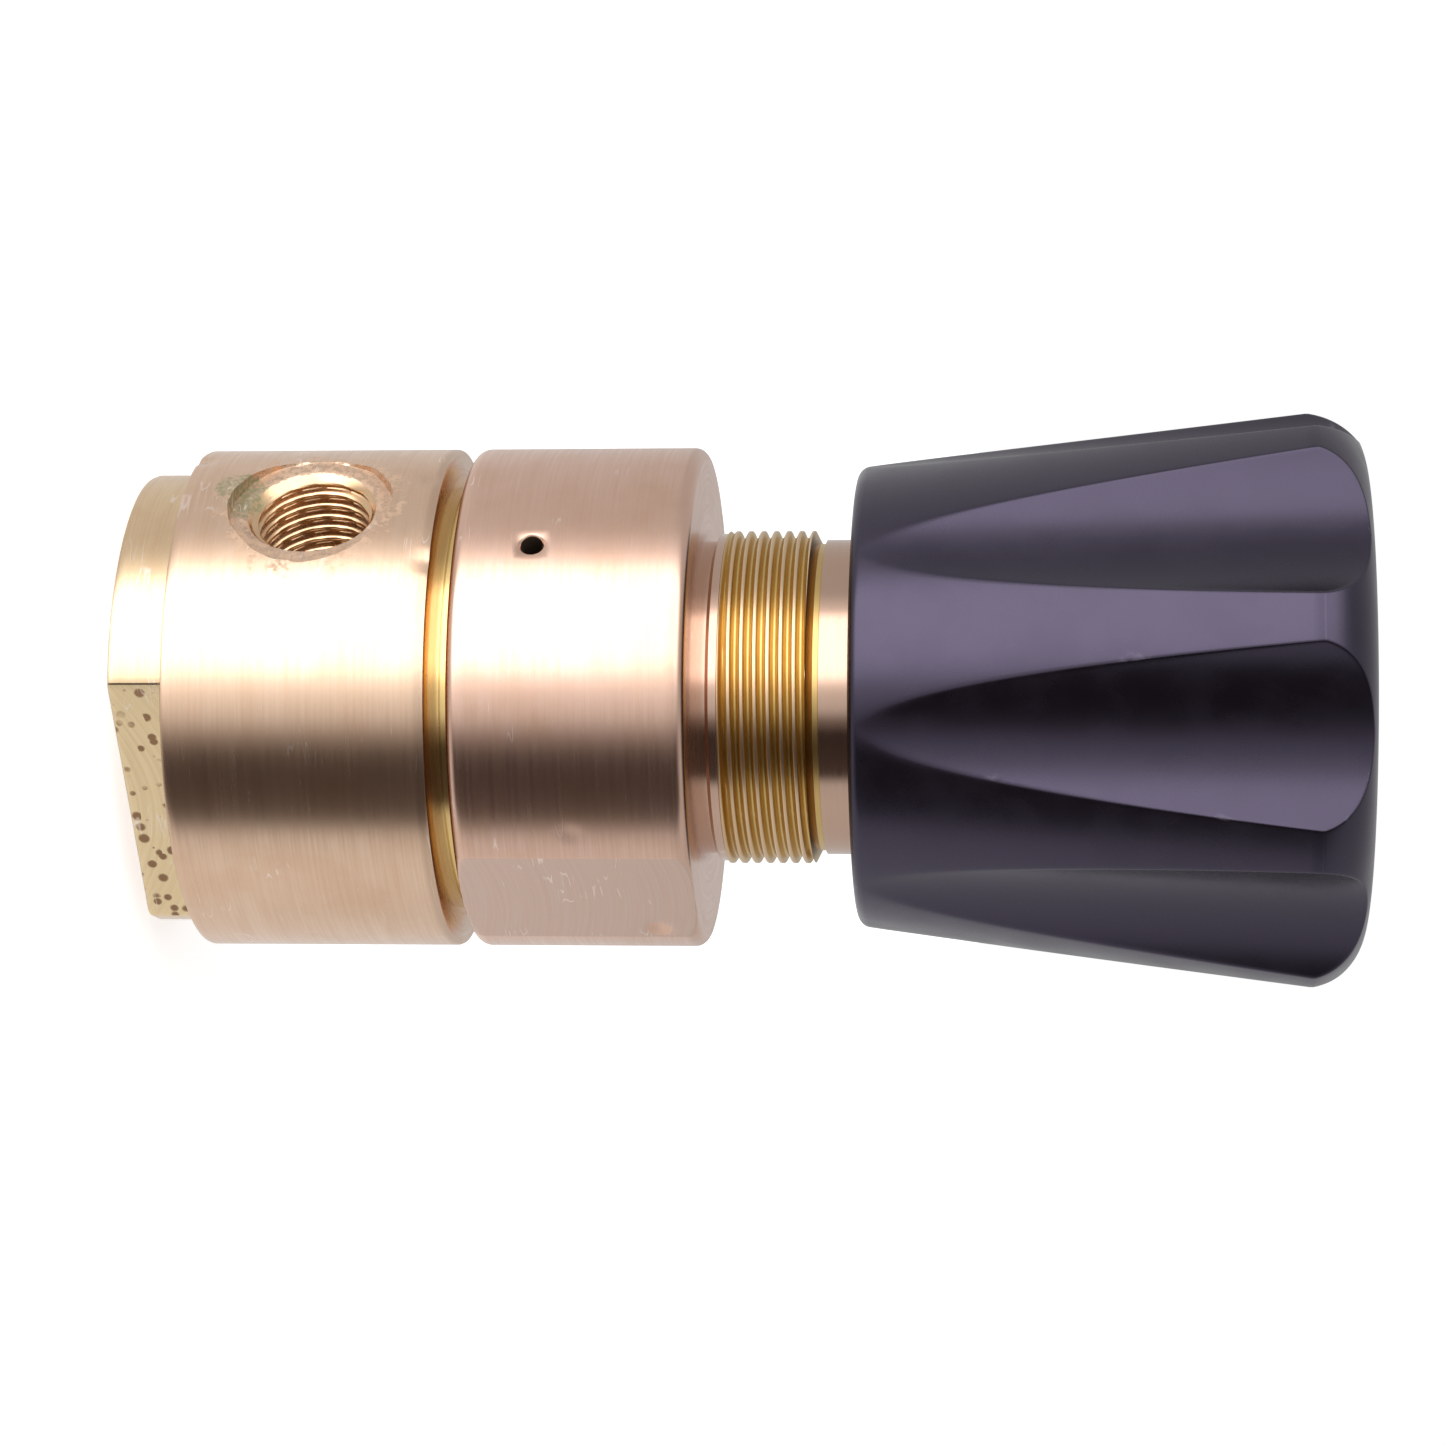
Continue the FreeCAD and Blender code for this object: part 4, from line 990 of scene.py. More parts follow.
class Bench:
    """Adds and joins the nodes of one tree."""

    def __init__(self, tree: bpy.types.NodeTree) -> None:
        """Work on a tree."""
        self.tree = tree

    def add(self, kind: str, values: dict[str, object] | None = None,
            **settings: object) -> bpy.types.Node:
        """Add a node.

        Args:
            kind: The node's type.
            values: Its inputs by name or number, each a plain value or another socket.
            **settings: Its own properties.

        Returns:
            The node.
        """
        node = self.tree.nodes.new(kind)
        for name, value in settings.items():
            setattr(node, name, value)
        for name, value in (values or {}).items():
            if isinstance(value, bpy.types.NodeSocket):
                self.tree.links.new(value, node.inputs[name])
            else:
                node.inputs[name].default_value = value
        return node

    def maths(self, operation: str, *values: object) -> bpy.types.NodeSocket:
        """A sum, product or other operation on values or sockets."""
        inputs = dict(enumerate(values))
        return self.add("ShaderNodeMath", inputs, operation=operation).outputs[0]

    def noise(self, vector: object, scale: object, detail: float = 2.0) -> bpy.types.NodeSocket:
        """The value of a noise texture."""
        values = {"Vector": vector, "Scale": scale, "Detail": detail}
        return self.add("ShaderNodeTexNoise", values).outputs["Fac"]

    def range(self, value: object, low: object, high: object,
              to_low: float = 0.0, to_high: float = 1.0) -> bpy.types.NodeSocket:
        """A value brought from one range to another, with smooth ends."""
        values = {"Value": value, "From Min": low, "From Max": high}
        values |= {"To Min": to_low, "To Max": to_high}
        node = self.add("ShaderNodeMapRange", values, interpolation_type="SMOOTHSTEP")
        return node.outputs["Result"]

    def blend(self, share: object, first: object, second: object) -> bpy.types.NodeSocket:
        """A colour between two others."""
        node = self.add("ShaderNodeMix", data_type="RGBA")
        for number, value in ((0, share), (6, first), (7, second)):
            if isinstance(value, bpy.types.NodeSocket):
                self.tree.links.new(value, node.inputs[number])
            else:
                node.inputs[number].default_value = value
        return node.outputs[2]


class Effect:
    """A shader node group with named inputs and outputs, built once."""

    title = "effect"
    takes: dict[str, tuple[str, object]] = {}
    gives: tuple[str, ...] = ()

    def __init__(self) -> None:
        """Make the group."""
        self.group = bpy.data.node_groups.new(self.title, "ShaderNodeTree")
        kinds = {"float": "NodeSocketFloat", "vector": "NodeSocketVector"}
        for name, (kind, value) in self.takes.items():
            socket = self.group.interface.new_socket(
                name=name, in_out="INPUT", socket_type=kinds[kind])
            socket.default_value = value
        for name in self.gives:
            self.group.interface.new_socket(
                name=name, in_out="OUTPUT", socket_type="NodeSocketFloat")
        bench = Bench(self.group)
        entry = bench.add("NodeGroupInput")
        place = bench.add("ShaderNodeTexCoord").outputs["Object"]
        results = self.wire(bench, entry.outputs, place)
        bench.add("NodeGroupOutput", results)

    def wire(self, bench: Bench, inputs: bpy.types.NodeOutputs,
             place: bpy.types.NodeSocket) -> dict[str, object]:
        """Join the group's nodes and return the sockets of its outputs."""
        raise NotImplementedError

    def put(self, bench: Bench, **values: object) -> bpy.types.NodeOutputs:
        """Place the group in a material with its own values."""
        node = bench.add("ShaderNodeGroup", node_tree=self.group)
        for name, value in values.items():
            socket = node.inputs[name.replace("_", " ")]
            if isinstance(value, bpy.types.NodeSocket):
                bench.tree.links.new(value, socket)
            else:
                socket.default_value = value
        return node.outputs


class TurningMarks(Effect):
    """Fine rings left by the lathe on walls and faces."""

    title = "turning marks"
    takes = {"Rings": ("float", 9000.0), "Drift": ("float", 60.0)}
    gives = ("Height", "Tone", "Band")

    def wire(self, bench: Bench, inputs: bpy.types.NodeOutputs,
             place: bpy.types.NodeSocket) -> dict[str, object]:
        """Noise that runs round the axis, at three widths."""
        parts = bench.add("ShaderNodeSeparateXYZ", {"Vector": place}).outputs
        level = bench.add("ShaderNodeCombineXYZ", {"X": parts["X"], "Y": parts["Y"]}).outputs[0]
        radius = bench.add("ShaderNodeVectorMath", {0: level}, operation="LENGTH").outputs["Value"]
        across = bench.maths("ADD", parts["Z"], radius)
        results = {}
        for name, share in (("Height", 1.0), ("Tone", 0.35), ("Band", 0.06)):
            rings = bench.maths("MULTIPLY", inputs["Rings"], share)
            along = bench.maths("MULTIPLY", across, rings)
            side = bench.maths("MULTIPLY", parts["X"], inputs["Drift"])
            depth = bench.maths("MULTIPLY", parts["Y"], inputs["Drift"])
            values = {"X": along, "Y": side, "Z": depth}
            spot = bench.add("ShaderNodeCombineXYZ", values).outputs[0]
            results[name] = bench.noise(spot, 1.0, 3.0)
        return results


class Grain(Effect):
    """An even fine grain with a slow change of tone."""

    title = "grain"
    takes = {"Scale": ("float", 9000.0)}
    gives = ("Height", "Tone")

    def wire(self, bench: Bench, inputs: bpy.types.NodeOutputs,
             place: bpy.types.NodeSocket) -> dict[str, object]:
        """Two noises, the second forty times as coarse."""
        coarse = bench.maths("MULTIPLY", inputs["Scale"], 0.025)
        return {
            "Height": bench.noise(place, inputs["Scale"], 2.0),
            "Tone": bench.noise(place, coarse, 4.0),
        }


class Stain(Effect):
    """A ragged stain round a place."""

    title = "stain"
    takes = {
        "Centre": ("vector", (0.0, 0.0, 0.0)),
        "Reach": ("float", 0.01),
        "Scale": ("float", 600.0),
        "Ragged": ("float", 0.5),
    }
    gives = ("Mask",)

    def wire(self, bench: Bench, inputs: bpy.types.NodeOutputs,
             place: bpy.types.NodeSocket) -> dict[str, object]:
        """Nearness to the centre, broken up by noise."""
        values = {0: place, 1: inputs["Centre"]}
        away = bench.add("ShaderNodeVectorMath", values, operation="DISTANCE").outputs["Value"]
        near = bench.maths("SUBTRACT", 1.0, bench.maths("DIVIDE", away, inputs["Reach"]))
        rough = bench.maths("SUBTRACT", bench.noise(place, inputs["Scale"], 5.0), 0.5)
        bent = bench.maths("MULTIPLY_ADD", rough, inputs["Ragged"], near)
        return {"Mask": bench.range(bent, 0.0, 0.22)}


class Scratches(Effect):
    """Thin hair scratches in loose patches."""

    title = "scratches"
    takes = {
        "Scale": ("float", 90.0),
        "Width": ("float", 0.012),
        "Patches": ("float", 0.55),
    }
    gives = ("Mask",)

    def wire(self, bench: Bench, inputs: bpy.types.NodeOutputs,
             place: bpy.types.NodeSocket) -> dict[str, object]:
        """Contour lines of two stretched noises, kept where a third is high."""
        masks = []
        for turn, stretch in ((0.9, (1.0, 1.0, 7.0)), (0.35, (0.8, 0.9, 6.0))):
            values = {"Vector": place, "Rotation": (turn, 0.3, turn), "Scale": stretch}
            spot = bench.add("ShaderNodeMapping", values).outputs[0]
            value = bench.noise(spot, inputs["Scale"], 1.0)
            away = bench.maths("ABSOLUTE", bench.maths("SUBTRACT", value, 0.5))
            masks.append(bench.range(away, inputs["Width"], 0.0))
        patch_scale = bench.maths("MULTIPLY", inputs["Scale"], 2.3)
        patch = bench.noise(place, patch_scale, 2.0)
        limit = bench.maths("ADD", inputs["Patches"], 0.06)
        kept = bench.range(patch, inputs["Patches"], limit)
        lines = bench.maths("MAXIMUM", masks[0], masks[1])
        return {"Mask": bench.maths("MULTIPLY", lines, kept)}


class Pits(Effect):
    """Round corrosion pits, some cells left empty."""

    title = "pits"
    takes = {
        "Scale": ("float", 420.0),
        "Size": ("float", 0.28),
        "Empty": ("float", 0.5),
    }
    gives = ("Mask", "Ring")

    def wire(self, bench: Bench, inputs: bpy.types.NodeOutputs,
             place: bpy.types.NodeSocket) -> dict[str, object]:
        """The middles of scattered cells, and a ring round each."""
        values = {"Vector": place, "Scale": inputs["Scale"], "Randomness": 1.0}
        cells = bench.add("ShaderNodeTexVoronoi", values).outputs
        parts = bench.add("ShaderNodeSeparateColor", {"Color": cells["Color"]}).outputs
        kept = bench.maths("GREATER_THAN", parts["Red"], inputs["Empty"])
        size = bench.maths("MULTIPLY", inputs["Size"], bench.maths("ADD", parts["Green"], 0.5))
        inner = bench.maths("MULTIPLY", size, 0.6)
        filled = bench.range(cells["Distance"], size, inner)
        core = bench.range(cells["Distance"], inner, bench.maths("MULTIPLY", size, 0.3))
        ring = bench.maths("SUBTRACT", filled, core)
        return {
            "Mask": bench.maths("MULTIPLY", filled, kept),
            "Ring": bench.maths("MULTIPLY", ring, kept),
        }


class EdgeWear(Effect):
    """Where the surface is sharply convex."""

    title = "edge wear"
    takes = {"From": ("float", 0.53), "To": ("float", 0.60), "Scale": ("float", 900.0)}
    gives = ("Mask",)

    def wire(self, bench: Bench, inputs: bpy.types.NodeOutputs,
             place: bpy.types.NodeSocket) -> dict[str, object]:
        """Pointed places, broken up by noise."""
        pointed = bench.add("ShaderNodeNewGeometry").outputs["Pointiness"]
        edge = bench.range(pointed, inputs["From"], inputs["To"])
        rough = bench.range(bench.noise(place, inputs["Scale"], 3.0), 0.35, 0.6)
        return {"Mask": bench.maths("MULTIPLY", edge, rough)}


@dataclass(frozen=True)
class Effects:
    """The shared effects."""

    marks: TurningMarks
    grain: Grain
    stain: Stain
    scratches: Scratches
    pits: Pits
    wear: EdgeWear


Colour = tuple[float, float, float, float]
Spot = tuple[float, float, float]
BUMP_RISE = 0.012 * MM


def new_material(name: str) -> tuple[bpy.types.Material, Bench, bpy.types.Node]:
    """A material with a Principled shader.

    Args:
        name: The finish's name.

    Returns:
        The material, the bench of its tree and its shader node.
    """
    material = bpy.data.materials.new(name)
    material.use_nodes = True
    bench = Bench(material.node_tree)
    shader = next(n for n in material.node_tree.nodes if n.type == "BSDF_PRINCIPLED")
    return material, bench, shader


def link(bench: Bench, socket: object, shader: bpy.types.Node, name: str) -> None:
    """Join a socket to a named input of the shader."""
    bench.tree.links.new(socket, shader.inputs[name])


def bumped(bench: Bench, height: object, strength: float, distance: float,
           shader: bpy.types.Node) -> None:
    """Feed a height to the shader's normal."""
    values = {"Height": height, "Strength": strength, "Distance": distance}
    bump = bench.add("ShaderNodeBump", values)
    link(bench, bump.outputs["Normal"], shader, "Normal")


@dataclass(frozen=True)
class BrassFinish:
    """Turned brass with tarnish, scratches, pits and stained places."""

    name: str
    colour: Colour = (0.78, 0.56, 0.41, 1.0)
    tarnish: Colour = (0.60, 0.35, 0.20, 1.0)
    tarnish_share: float = 0.35
    streak_share: float = 0.6
    fine_share: float = 0.16
    roughness: float = 0.22
    rough_spread: float = 0.06
    rings: float = 9000.0
    drift: float = 70.0
    mark_depth: float = 0.17
    grain_scale: float = 5200.0
    grain_share: float = 0.35
    scratch: Colour = (0.95, 0.80, 0.70, 1.0)
    scratch_share: float = 0.6
    scratch_patches: float = 0.62
    stain: Colour = (0.28, 0.15, 0.07, 1.0)
    stain_centre: Spot | None = None
    stain_reach: float = 10.0 * MM
    stain_share: float = 0.28
    verdigris: Colour = (0.22, 0.24, 0.12, 1.0)
    verdigris_centre: Spot | None = None
    verdigris_reach: float = 4.0 * MM
    # A lighter colour on the thread's crests: a painted highlight, with painted shade left in the
    # darker valleys.
    crest_highlight: Colour | None = None
    crest_highlight_radius: float = 17.38 * MM
    crest_highlight_width: float = 0.08 * MM
    flat_angle: float | None = None
    flat_distance: float = 25.13 * MM
    flat_colour: Colour = (0.66, 0.49, 0.41, 1.0)
    flat_scratches: float = 0.60
    pitted: bool = False
    pit_share: float = 0.9
    pit_depth: float = 3.0

    def make(self, effects: Effects) -> bpy.types.Material:
        """Build the material.

        Args:
            effects: The shared effects.

        Returns:
            The material.
        """
        material, bench, shader = new_material(self.name)
        marks = effects.marks.put(bench, Rings=self.rings, Drift=self.drift)
        grain = effects.grain.put(bench, Scale=self.grain_scale)
        on_flat = None if self.flat_angle is None else self.on_flat(bench)
        colour = self.tarnish_and_painted_light(bench, marks, grain, on_flat)
        height = bench.maths("MULTIPLY", marks["Height"], 0.5)
        height = bench.maths("MULTIPLY_ADD", marks["Tone"], 0.5, height)
        soils = []
        if self.stain_centre:
            soils.append(self.stained(bench, effects))
            share = bench.maths("MULTIPLY", soils[-1], self.stain_share)
            colour = bench.blend(share, colour, self.stain)
        if self.verdigris_centre:
            soils.append(self.greened(bench, effects))
            colour = bench.blend(soils[-1], colour, self.verdigris)
        if self.pitted:
            spots, ring = self.pitting(bench, effects, on_flat)
            soils.append(spots)
            colour = bench.blend(bench.maths("MULTIPLY", spots, self.pit_share), colour, self.stain)
            deep = bench.maths("MULTIPLY", spots, self.pit_depth)
            height = bench.maths("ADD", bench.maths("SUBTRACT", height, deep), ring)
        scratches = self.scratched(bench, effects, on_flat)
        wear = bench.maths("MULTIPLY", effects.wear.put(bench)["Mask"], 0.5)
        bright = bench.maths("MAXIMUM", scratches, wear)
        share = bench.maths("MULTIPLY", bright, self.scratch_share)
        link(bench, bench.blend(share, colour, self.scratch), shader, "Base Color")
        rough = bench.range(
            marks["Tone"], 0.2, 0.8, self.roughness, self.roughness + self.rough_spread)
        self.dull(bench, soils, rough, shader)
        height = bench.maths("MULTIPLY_ADD", grain["Height"], self.grain_share, height)
        height = bench.maths("SUBTRACT", height, scratches)
        bumped(bench, height, self.mark_depth, BUMP_RISE, shader)
        return material

    def tarnish_and_painted_light(self, bench: Bench, marks: bpy.types.NodeOutputs,
                  grain: bpy.types.NodeOutputs,
                  on_flat: bpy.types.NodeSocket | None) -> bpy.types.NodeSocket:
        """The brass colour with its clouds, streaks and fine rings of tarnish, painted crest
        highlight and flat colour.
        """
        cloud = bench.range(grain["Tone"], 0.38, 0.75, 0.0, self.tarnish_share)
        streak = bench.range(
            marks["Band"], 0.35, 0.72, 0.0, self.tarnish_share * self.streak_share)
        colour = bench.blend(bench.maths("MAXIMUM", cloud, streak), self.colour, self.tarnish)
        # Crests lighter than the valleys by radius: painted highlight on the crests, painted shade
        # in the valleys.
        if self.crest_highlight:
            colour = bench.blend(self.crest_highlight_share(bench), colour, self.crest_highlight)
        # The flat's own colour; on the cap it is lighter and yellower, partly worn brass and partly
        # a painted reflection of the bright ground below.
        if on_flat:
            colour = bench.blend(on_flat, colour, self.flat_colour)
        fine = bench.range(marks["Tone"], 0.3, 0.7, 0.0, self.fine_share)
        return bench.blend(fine, colour, self.tarnish)

    def scratched(self, bench: Bench, effects: Effects,
                  on_flat: bpy.types.NodeSocket | None) -> bpy.types.NodeSocket:
        """Hair scratches all over, and more of them on the worn wrench flat."""
        scratches = effects.scratches.put(bench, Patches=self.scratch_patches)["Mask"]
        if not on_flat:
            return scratches
        worn = effects.scratches.put(
            bench, Scale=110.0, Width=0.016, Patches=self.flat_scratches)["Mask"]
        return bench.maths("MAXIMUM", scratches, bench.maths("MULTIPLY", worn, on_flat))

    def stained(self, bench: Bench, effects: Effects) -> bpy.types.NodeSocket:
        """A speckled brown stain."""
        ragged = effects.stain.put(
            bench, Centre=self.stain_centre, Reach=self.stain_reach,
            Scale=520.0, Ragged=0.85)["Mask"]
        speck = bench.range(bench.noise(self.place(bench), 1500.0, 4.0), 0.42, 0.62)
        return bench.maths("MULTIPLY", ragged, speck)

    def greened(self, bench: Bench, effects: Effects) -> bpy.types.NodeSocket:
        """A mottled patch of verdigris."""
        ragged = effects.stain.put(
            bench, Centre=self.verdigris_centre, Reach=self.verdigris_reach,
            Scale=900.0, Ragged=1.1)["Mask"]
        mottle = bench.range(bench.noise(self.place(bench), 2400.0, 3.0), 0.4, 0.6, 0.3, 0.8)
        return bench.maths("MULTIPLY", ragged, mottle)

    def dull(self, bench: Bench, soils: Sequence[bpy.types.NodeSocket],
             rough: bpy.types.NodeSocket, shader: bpy.types.Node) -> None:
        """Make soiled places rougher and less metallic.

        Args:
            bench: The material's bench.
            soils: The masks of the soiled places.
            rough: The clean brass's roughness.
            shader: The material's shader.
        """
        shader.inputs["Metallic"].default_value = 1.0
        if soils:
            dirt = soils[0]
            for soil in soils[1:]:
                dirt = bench.maths("MAXIMUM", dirt, soil)
            rough = bench.maths("MULTIPLY_ADD", dirt, 0.35, rough)
            metal = bench.maths("SUBTRACT", 1.0, bench.maths("MULTIPLY", dirt, 0.6))
            link(bench, metal, shader, "Metallic")
        link(bench, rough, shader, "Roughness")

    def place(self, bench: Bench) -> bpy.types.NodeSocket:
        """The place on the surface."""
        return bench.add("ShaderNodeTexCoord").outputs["Object"]

    def crest_highlight_share(self, bench: Bench) -> bpy.types.NodeSocket:
        """How near a place is to the thread's crests, which get the painted highlight."""
        parts = bench.add("ShaderNodeSeparateXYZ", {"Vector": self.place(bench)}).outputs
        level = bench.add("ShaderNodeCombineXYZ", {"X": parts["X"], "Y": parts["Y"]}).outputs[0]
        radius = bench.add("ShaderNodeVectorMath", {0: level}, operation="LENGTH").outputs["Value"]
        return bench.range(radius, self.crest_highlight_radius, self.crest_highlight_radius + self.crest_highlight_width)

    def on_flat(self, bench: Bench) -> bpy.types.NodeSocket:
        """Whether a place lies on the wrench flat that shows wear; on the cap its lighter colour is
        partly a painted reflection.
        """
        values = {0: self.place(bench), 1: tuple(heading(self.flat_angle))}
        out = bench.add("ShaderNodeVectorMath", values, operation="DOT_PRODUCT")
        return bench.maths("GREATER_THAN", out.outputs["Value"], self.flat_distance)

    def pitting(self, bench: Bench, effects: Effects, on_flat: bpy.types.NodeSocket
                ) -> tuple[bpy.types.NodeSocket, bpy.types.NodeSocket]:
        """Corrosion pits that lie on the worn wrench flat only, and their rings."""
        pits = effects.pits.put(bench, Scale=760.0, Size=0.38, Empty=0.15)
        cloud = bench.range(bench.noise(self.place(bench), 130.0, 2.0), 0.33, 0.42)
        share = bench.maths("MULTIPLY", on_flat, cloud)
        return (
            bench.maths("MULTIPLY", pits["Mask"], share),
            bench.maths("MULTIPLY", pits["Ring"], share),
        )


@dataclass(frozen=True)
class SatinFinish:
    """A metal, rubber or plastic with an even grain."""

    name: str
    colour: Colour
    second: Colour
    roughness: float
    metallic: float = 0.0
    grain_scale: float = 6000.0
    grain_depth: float = 0.3
    wear: float = 0.0
    worn: Colour = (0.07, 0.065, 0.08, 1.0)
    rings: float = 0.0
    ior: float = 1.5
    tint: Colour = (1.0, 1.0, 1.0, 1.0)

    def make(self, effects: Effects) -> bpy.types.Material:
        """Build the material.

        Args:
            effects: The shared effects.

        Returns:
            The material.
        """
        material, bench, shader = new_material(self.name)
        shader.inputs["Metallic"].default_value = self.metallic
        shader.inputs["IOR"].default_value = self.ior
        shader.inputs["Specular Tint"].default_value = self.tint
        grain = effects.grain.put(bench, Scale=self.grain_scale)
        share = bench.range(grain["Tone"], 0.35, 0.7)
        colour = bench.blend(share, self.colour, self.second)
        if self.wear:
            mask = effects.wear.put(bench, From=0.52, To=0.62)["Mask"]
            colour = bench.blend(bench.maths("MULTIPLY", mask, self.wear), colour, self.worn)
        link(bench, colour, shader, "Base Color")
        low = self.roughness - 0.03
        rough = bench.range(grain["Tone"], 0.3, 0.7, low, self.roughness + 0.04)
        link(bench, rough, shader, "Roughness")
        height = grain["Height"]
        if self.rings:
            marks = effects.marks.put(bench, Rings=self.rings)
            height = bench.maths("MULTIPLY_ADD", marks["Height"], 0.8, height)
        bumped(bench, height, self.grain_depth, BUMP_RISE, shader)
        return material


NODE_SLOTS = {
    "bottom_cap_o_ring": Slot.SEAL_RUBBER,
    "valve_seat": Slot.SEAT_POLYMER,
    "seat_retainer": Slot.INNER_BRASS,
    "inlet_filter": Slot.SINTERED_BRONZE,
    "filter_snap_ring": Slot.SPRING_STEEL,
    "valve_spring": Slot.SPRING_STEEL,
    "piston_guide": Slot.INNER_BRASS,
    "guide_o_ring": Slot.SEAL_RUBBER,
    "range_spring": Slot.SPRING_STEEL,
    "sensing_piston": Slot.STEEL,
    "piston_o_ring": Slot.SEAL_RUBBER,
    "piston_backup_ring": Slot.SEAT_POLYMER,
    "lower_spring_seat": Slot.STEEL,
    "valve_poppet": Slot.STEEL,
    "poppet_o_ring": Slot.SEAL_RUBBER,
    "upper_spring_seat": Slot.STEEL,
    "thrust_ball": Slot.STEEL,
    "adjusting_screw": Slot.STEEL,
    "knob_insert": Slot.INNER_BRASS,
    "knob_washer": Slot.STEEL,
    "knob_nut": Slot.STEEL,
    "knob_cap": Slot.BLACK_KNOB,
}


def slot_finishes() -> dict[Slot, SatinFinish]:
    """The finishes of the pieces that keep their designed shape."""
    return {
        Slot.INNER_BRASS: SatinFinish(
            "machined brass", (0.80, 0.58, 0.26, 1.0), (0.70, 0.48, 0.20, 1.0),
            0.28, metallic=1.0, rings=9000.0),
        Slot.SINTERED_BRONZE: SatinFinish(
            "sintered bronze", (0.42, 0.27, 0.13, 1.0), (0.25, 0.15, 0.07, 1.0),
            0.65, metallic=0.8, grain_scale=3200.0, grain_depth=1.0),
        Slot.STEEL: SatinFinish(
            "turned steel", (0.58, 0.58, 0.59, 1.0), (0.48, 0.48, 0.50, 1.0),
            0.30, metallic=1.0, rings=9000.0),
        Slot.SPRING_STEEL: SatinFinish(
            "oiled spring steel", (0.32, 0.32, 0.34, 1.0), (0.22, 0.21, 0.21, 1.0),
            0.35, metallic=1.0),
        Slot.SEAL_RUBBER: SatinFinish(
            "seal rubber", (0.022, 0.022, 0.022, 1.0), (0.032, 0.031, 0.030, 1.0), 0.62),
        Slot.SEAT_POLYMER: SatinFinish(
            "seat polymer", (0.80, 0.77, 0.68, 1.0), (0.74, 0.70, 0.60, 1.0), 0.42),
        Slot.BLACK_KNOB: SatinFinish(
            "satin black knob", (0.0020, 0.0017, 0.0025, 1.0), (0.0035, 0.0030, 0.0044, 1.0),
            0.27, grain_scale=7000.0, grain_depth=0.35, wear=0.5, rings=7000.0, ior=1.745,
            tint=(0.78, 0.66, 1.0, 1.0)),
    }


PORT_MOUTH = Vector((-24.9 * MM, 0.0, 19.5 * MM))
VERDIGRIS_SHIFT = Vector((0.0, 2.2 * MM, -7.2 * MM))


@dataclass(frozen=True)
class Spring:
    """A spring node, with its joint, its foot and its travel."""

    node: str
    joint: str
    foot: float
    travel: float
    slack: float = 0.01 * MM

    def shorten(self) -> None:
        """Give the node its own copy of its mesh."""
        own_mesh(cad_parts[self.node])


SPRINGS = (
    Spring("range_spring", "screw_advance", 38.53 * MM, 7.62 * MM),
    Spring("valve_spring", "poppet_lift", 8.0 * MM, 0.8 * MM),
)


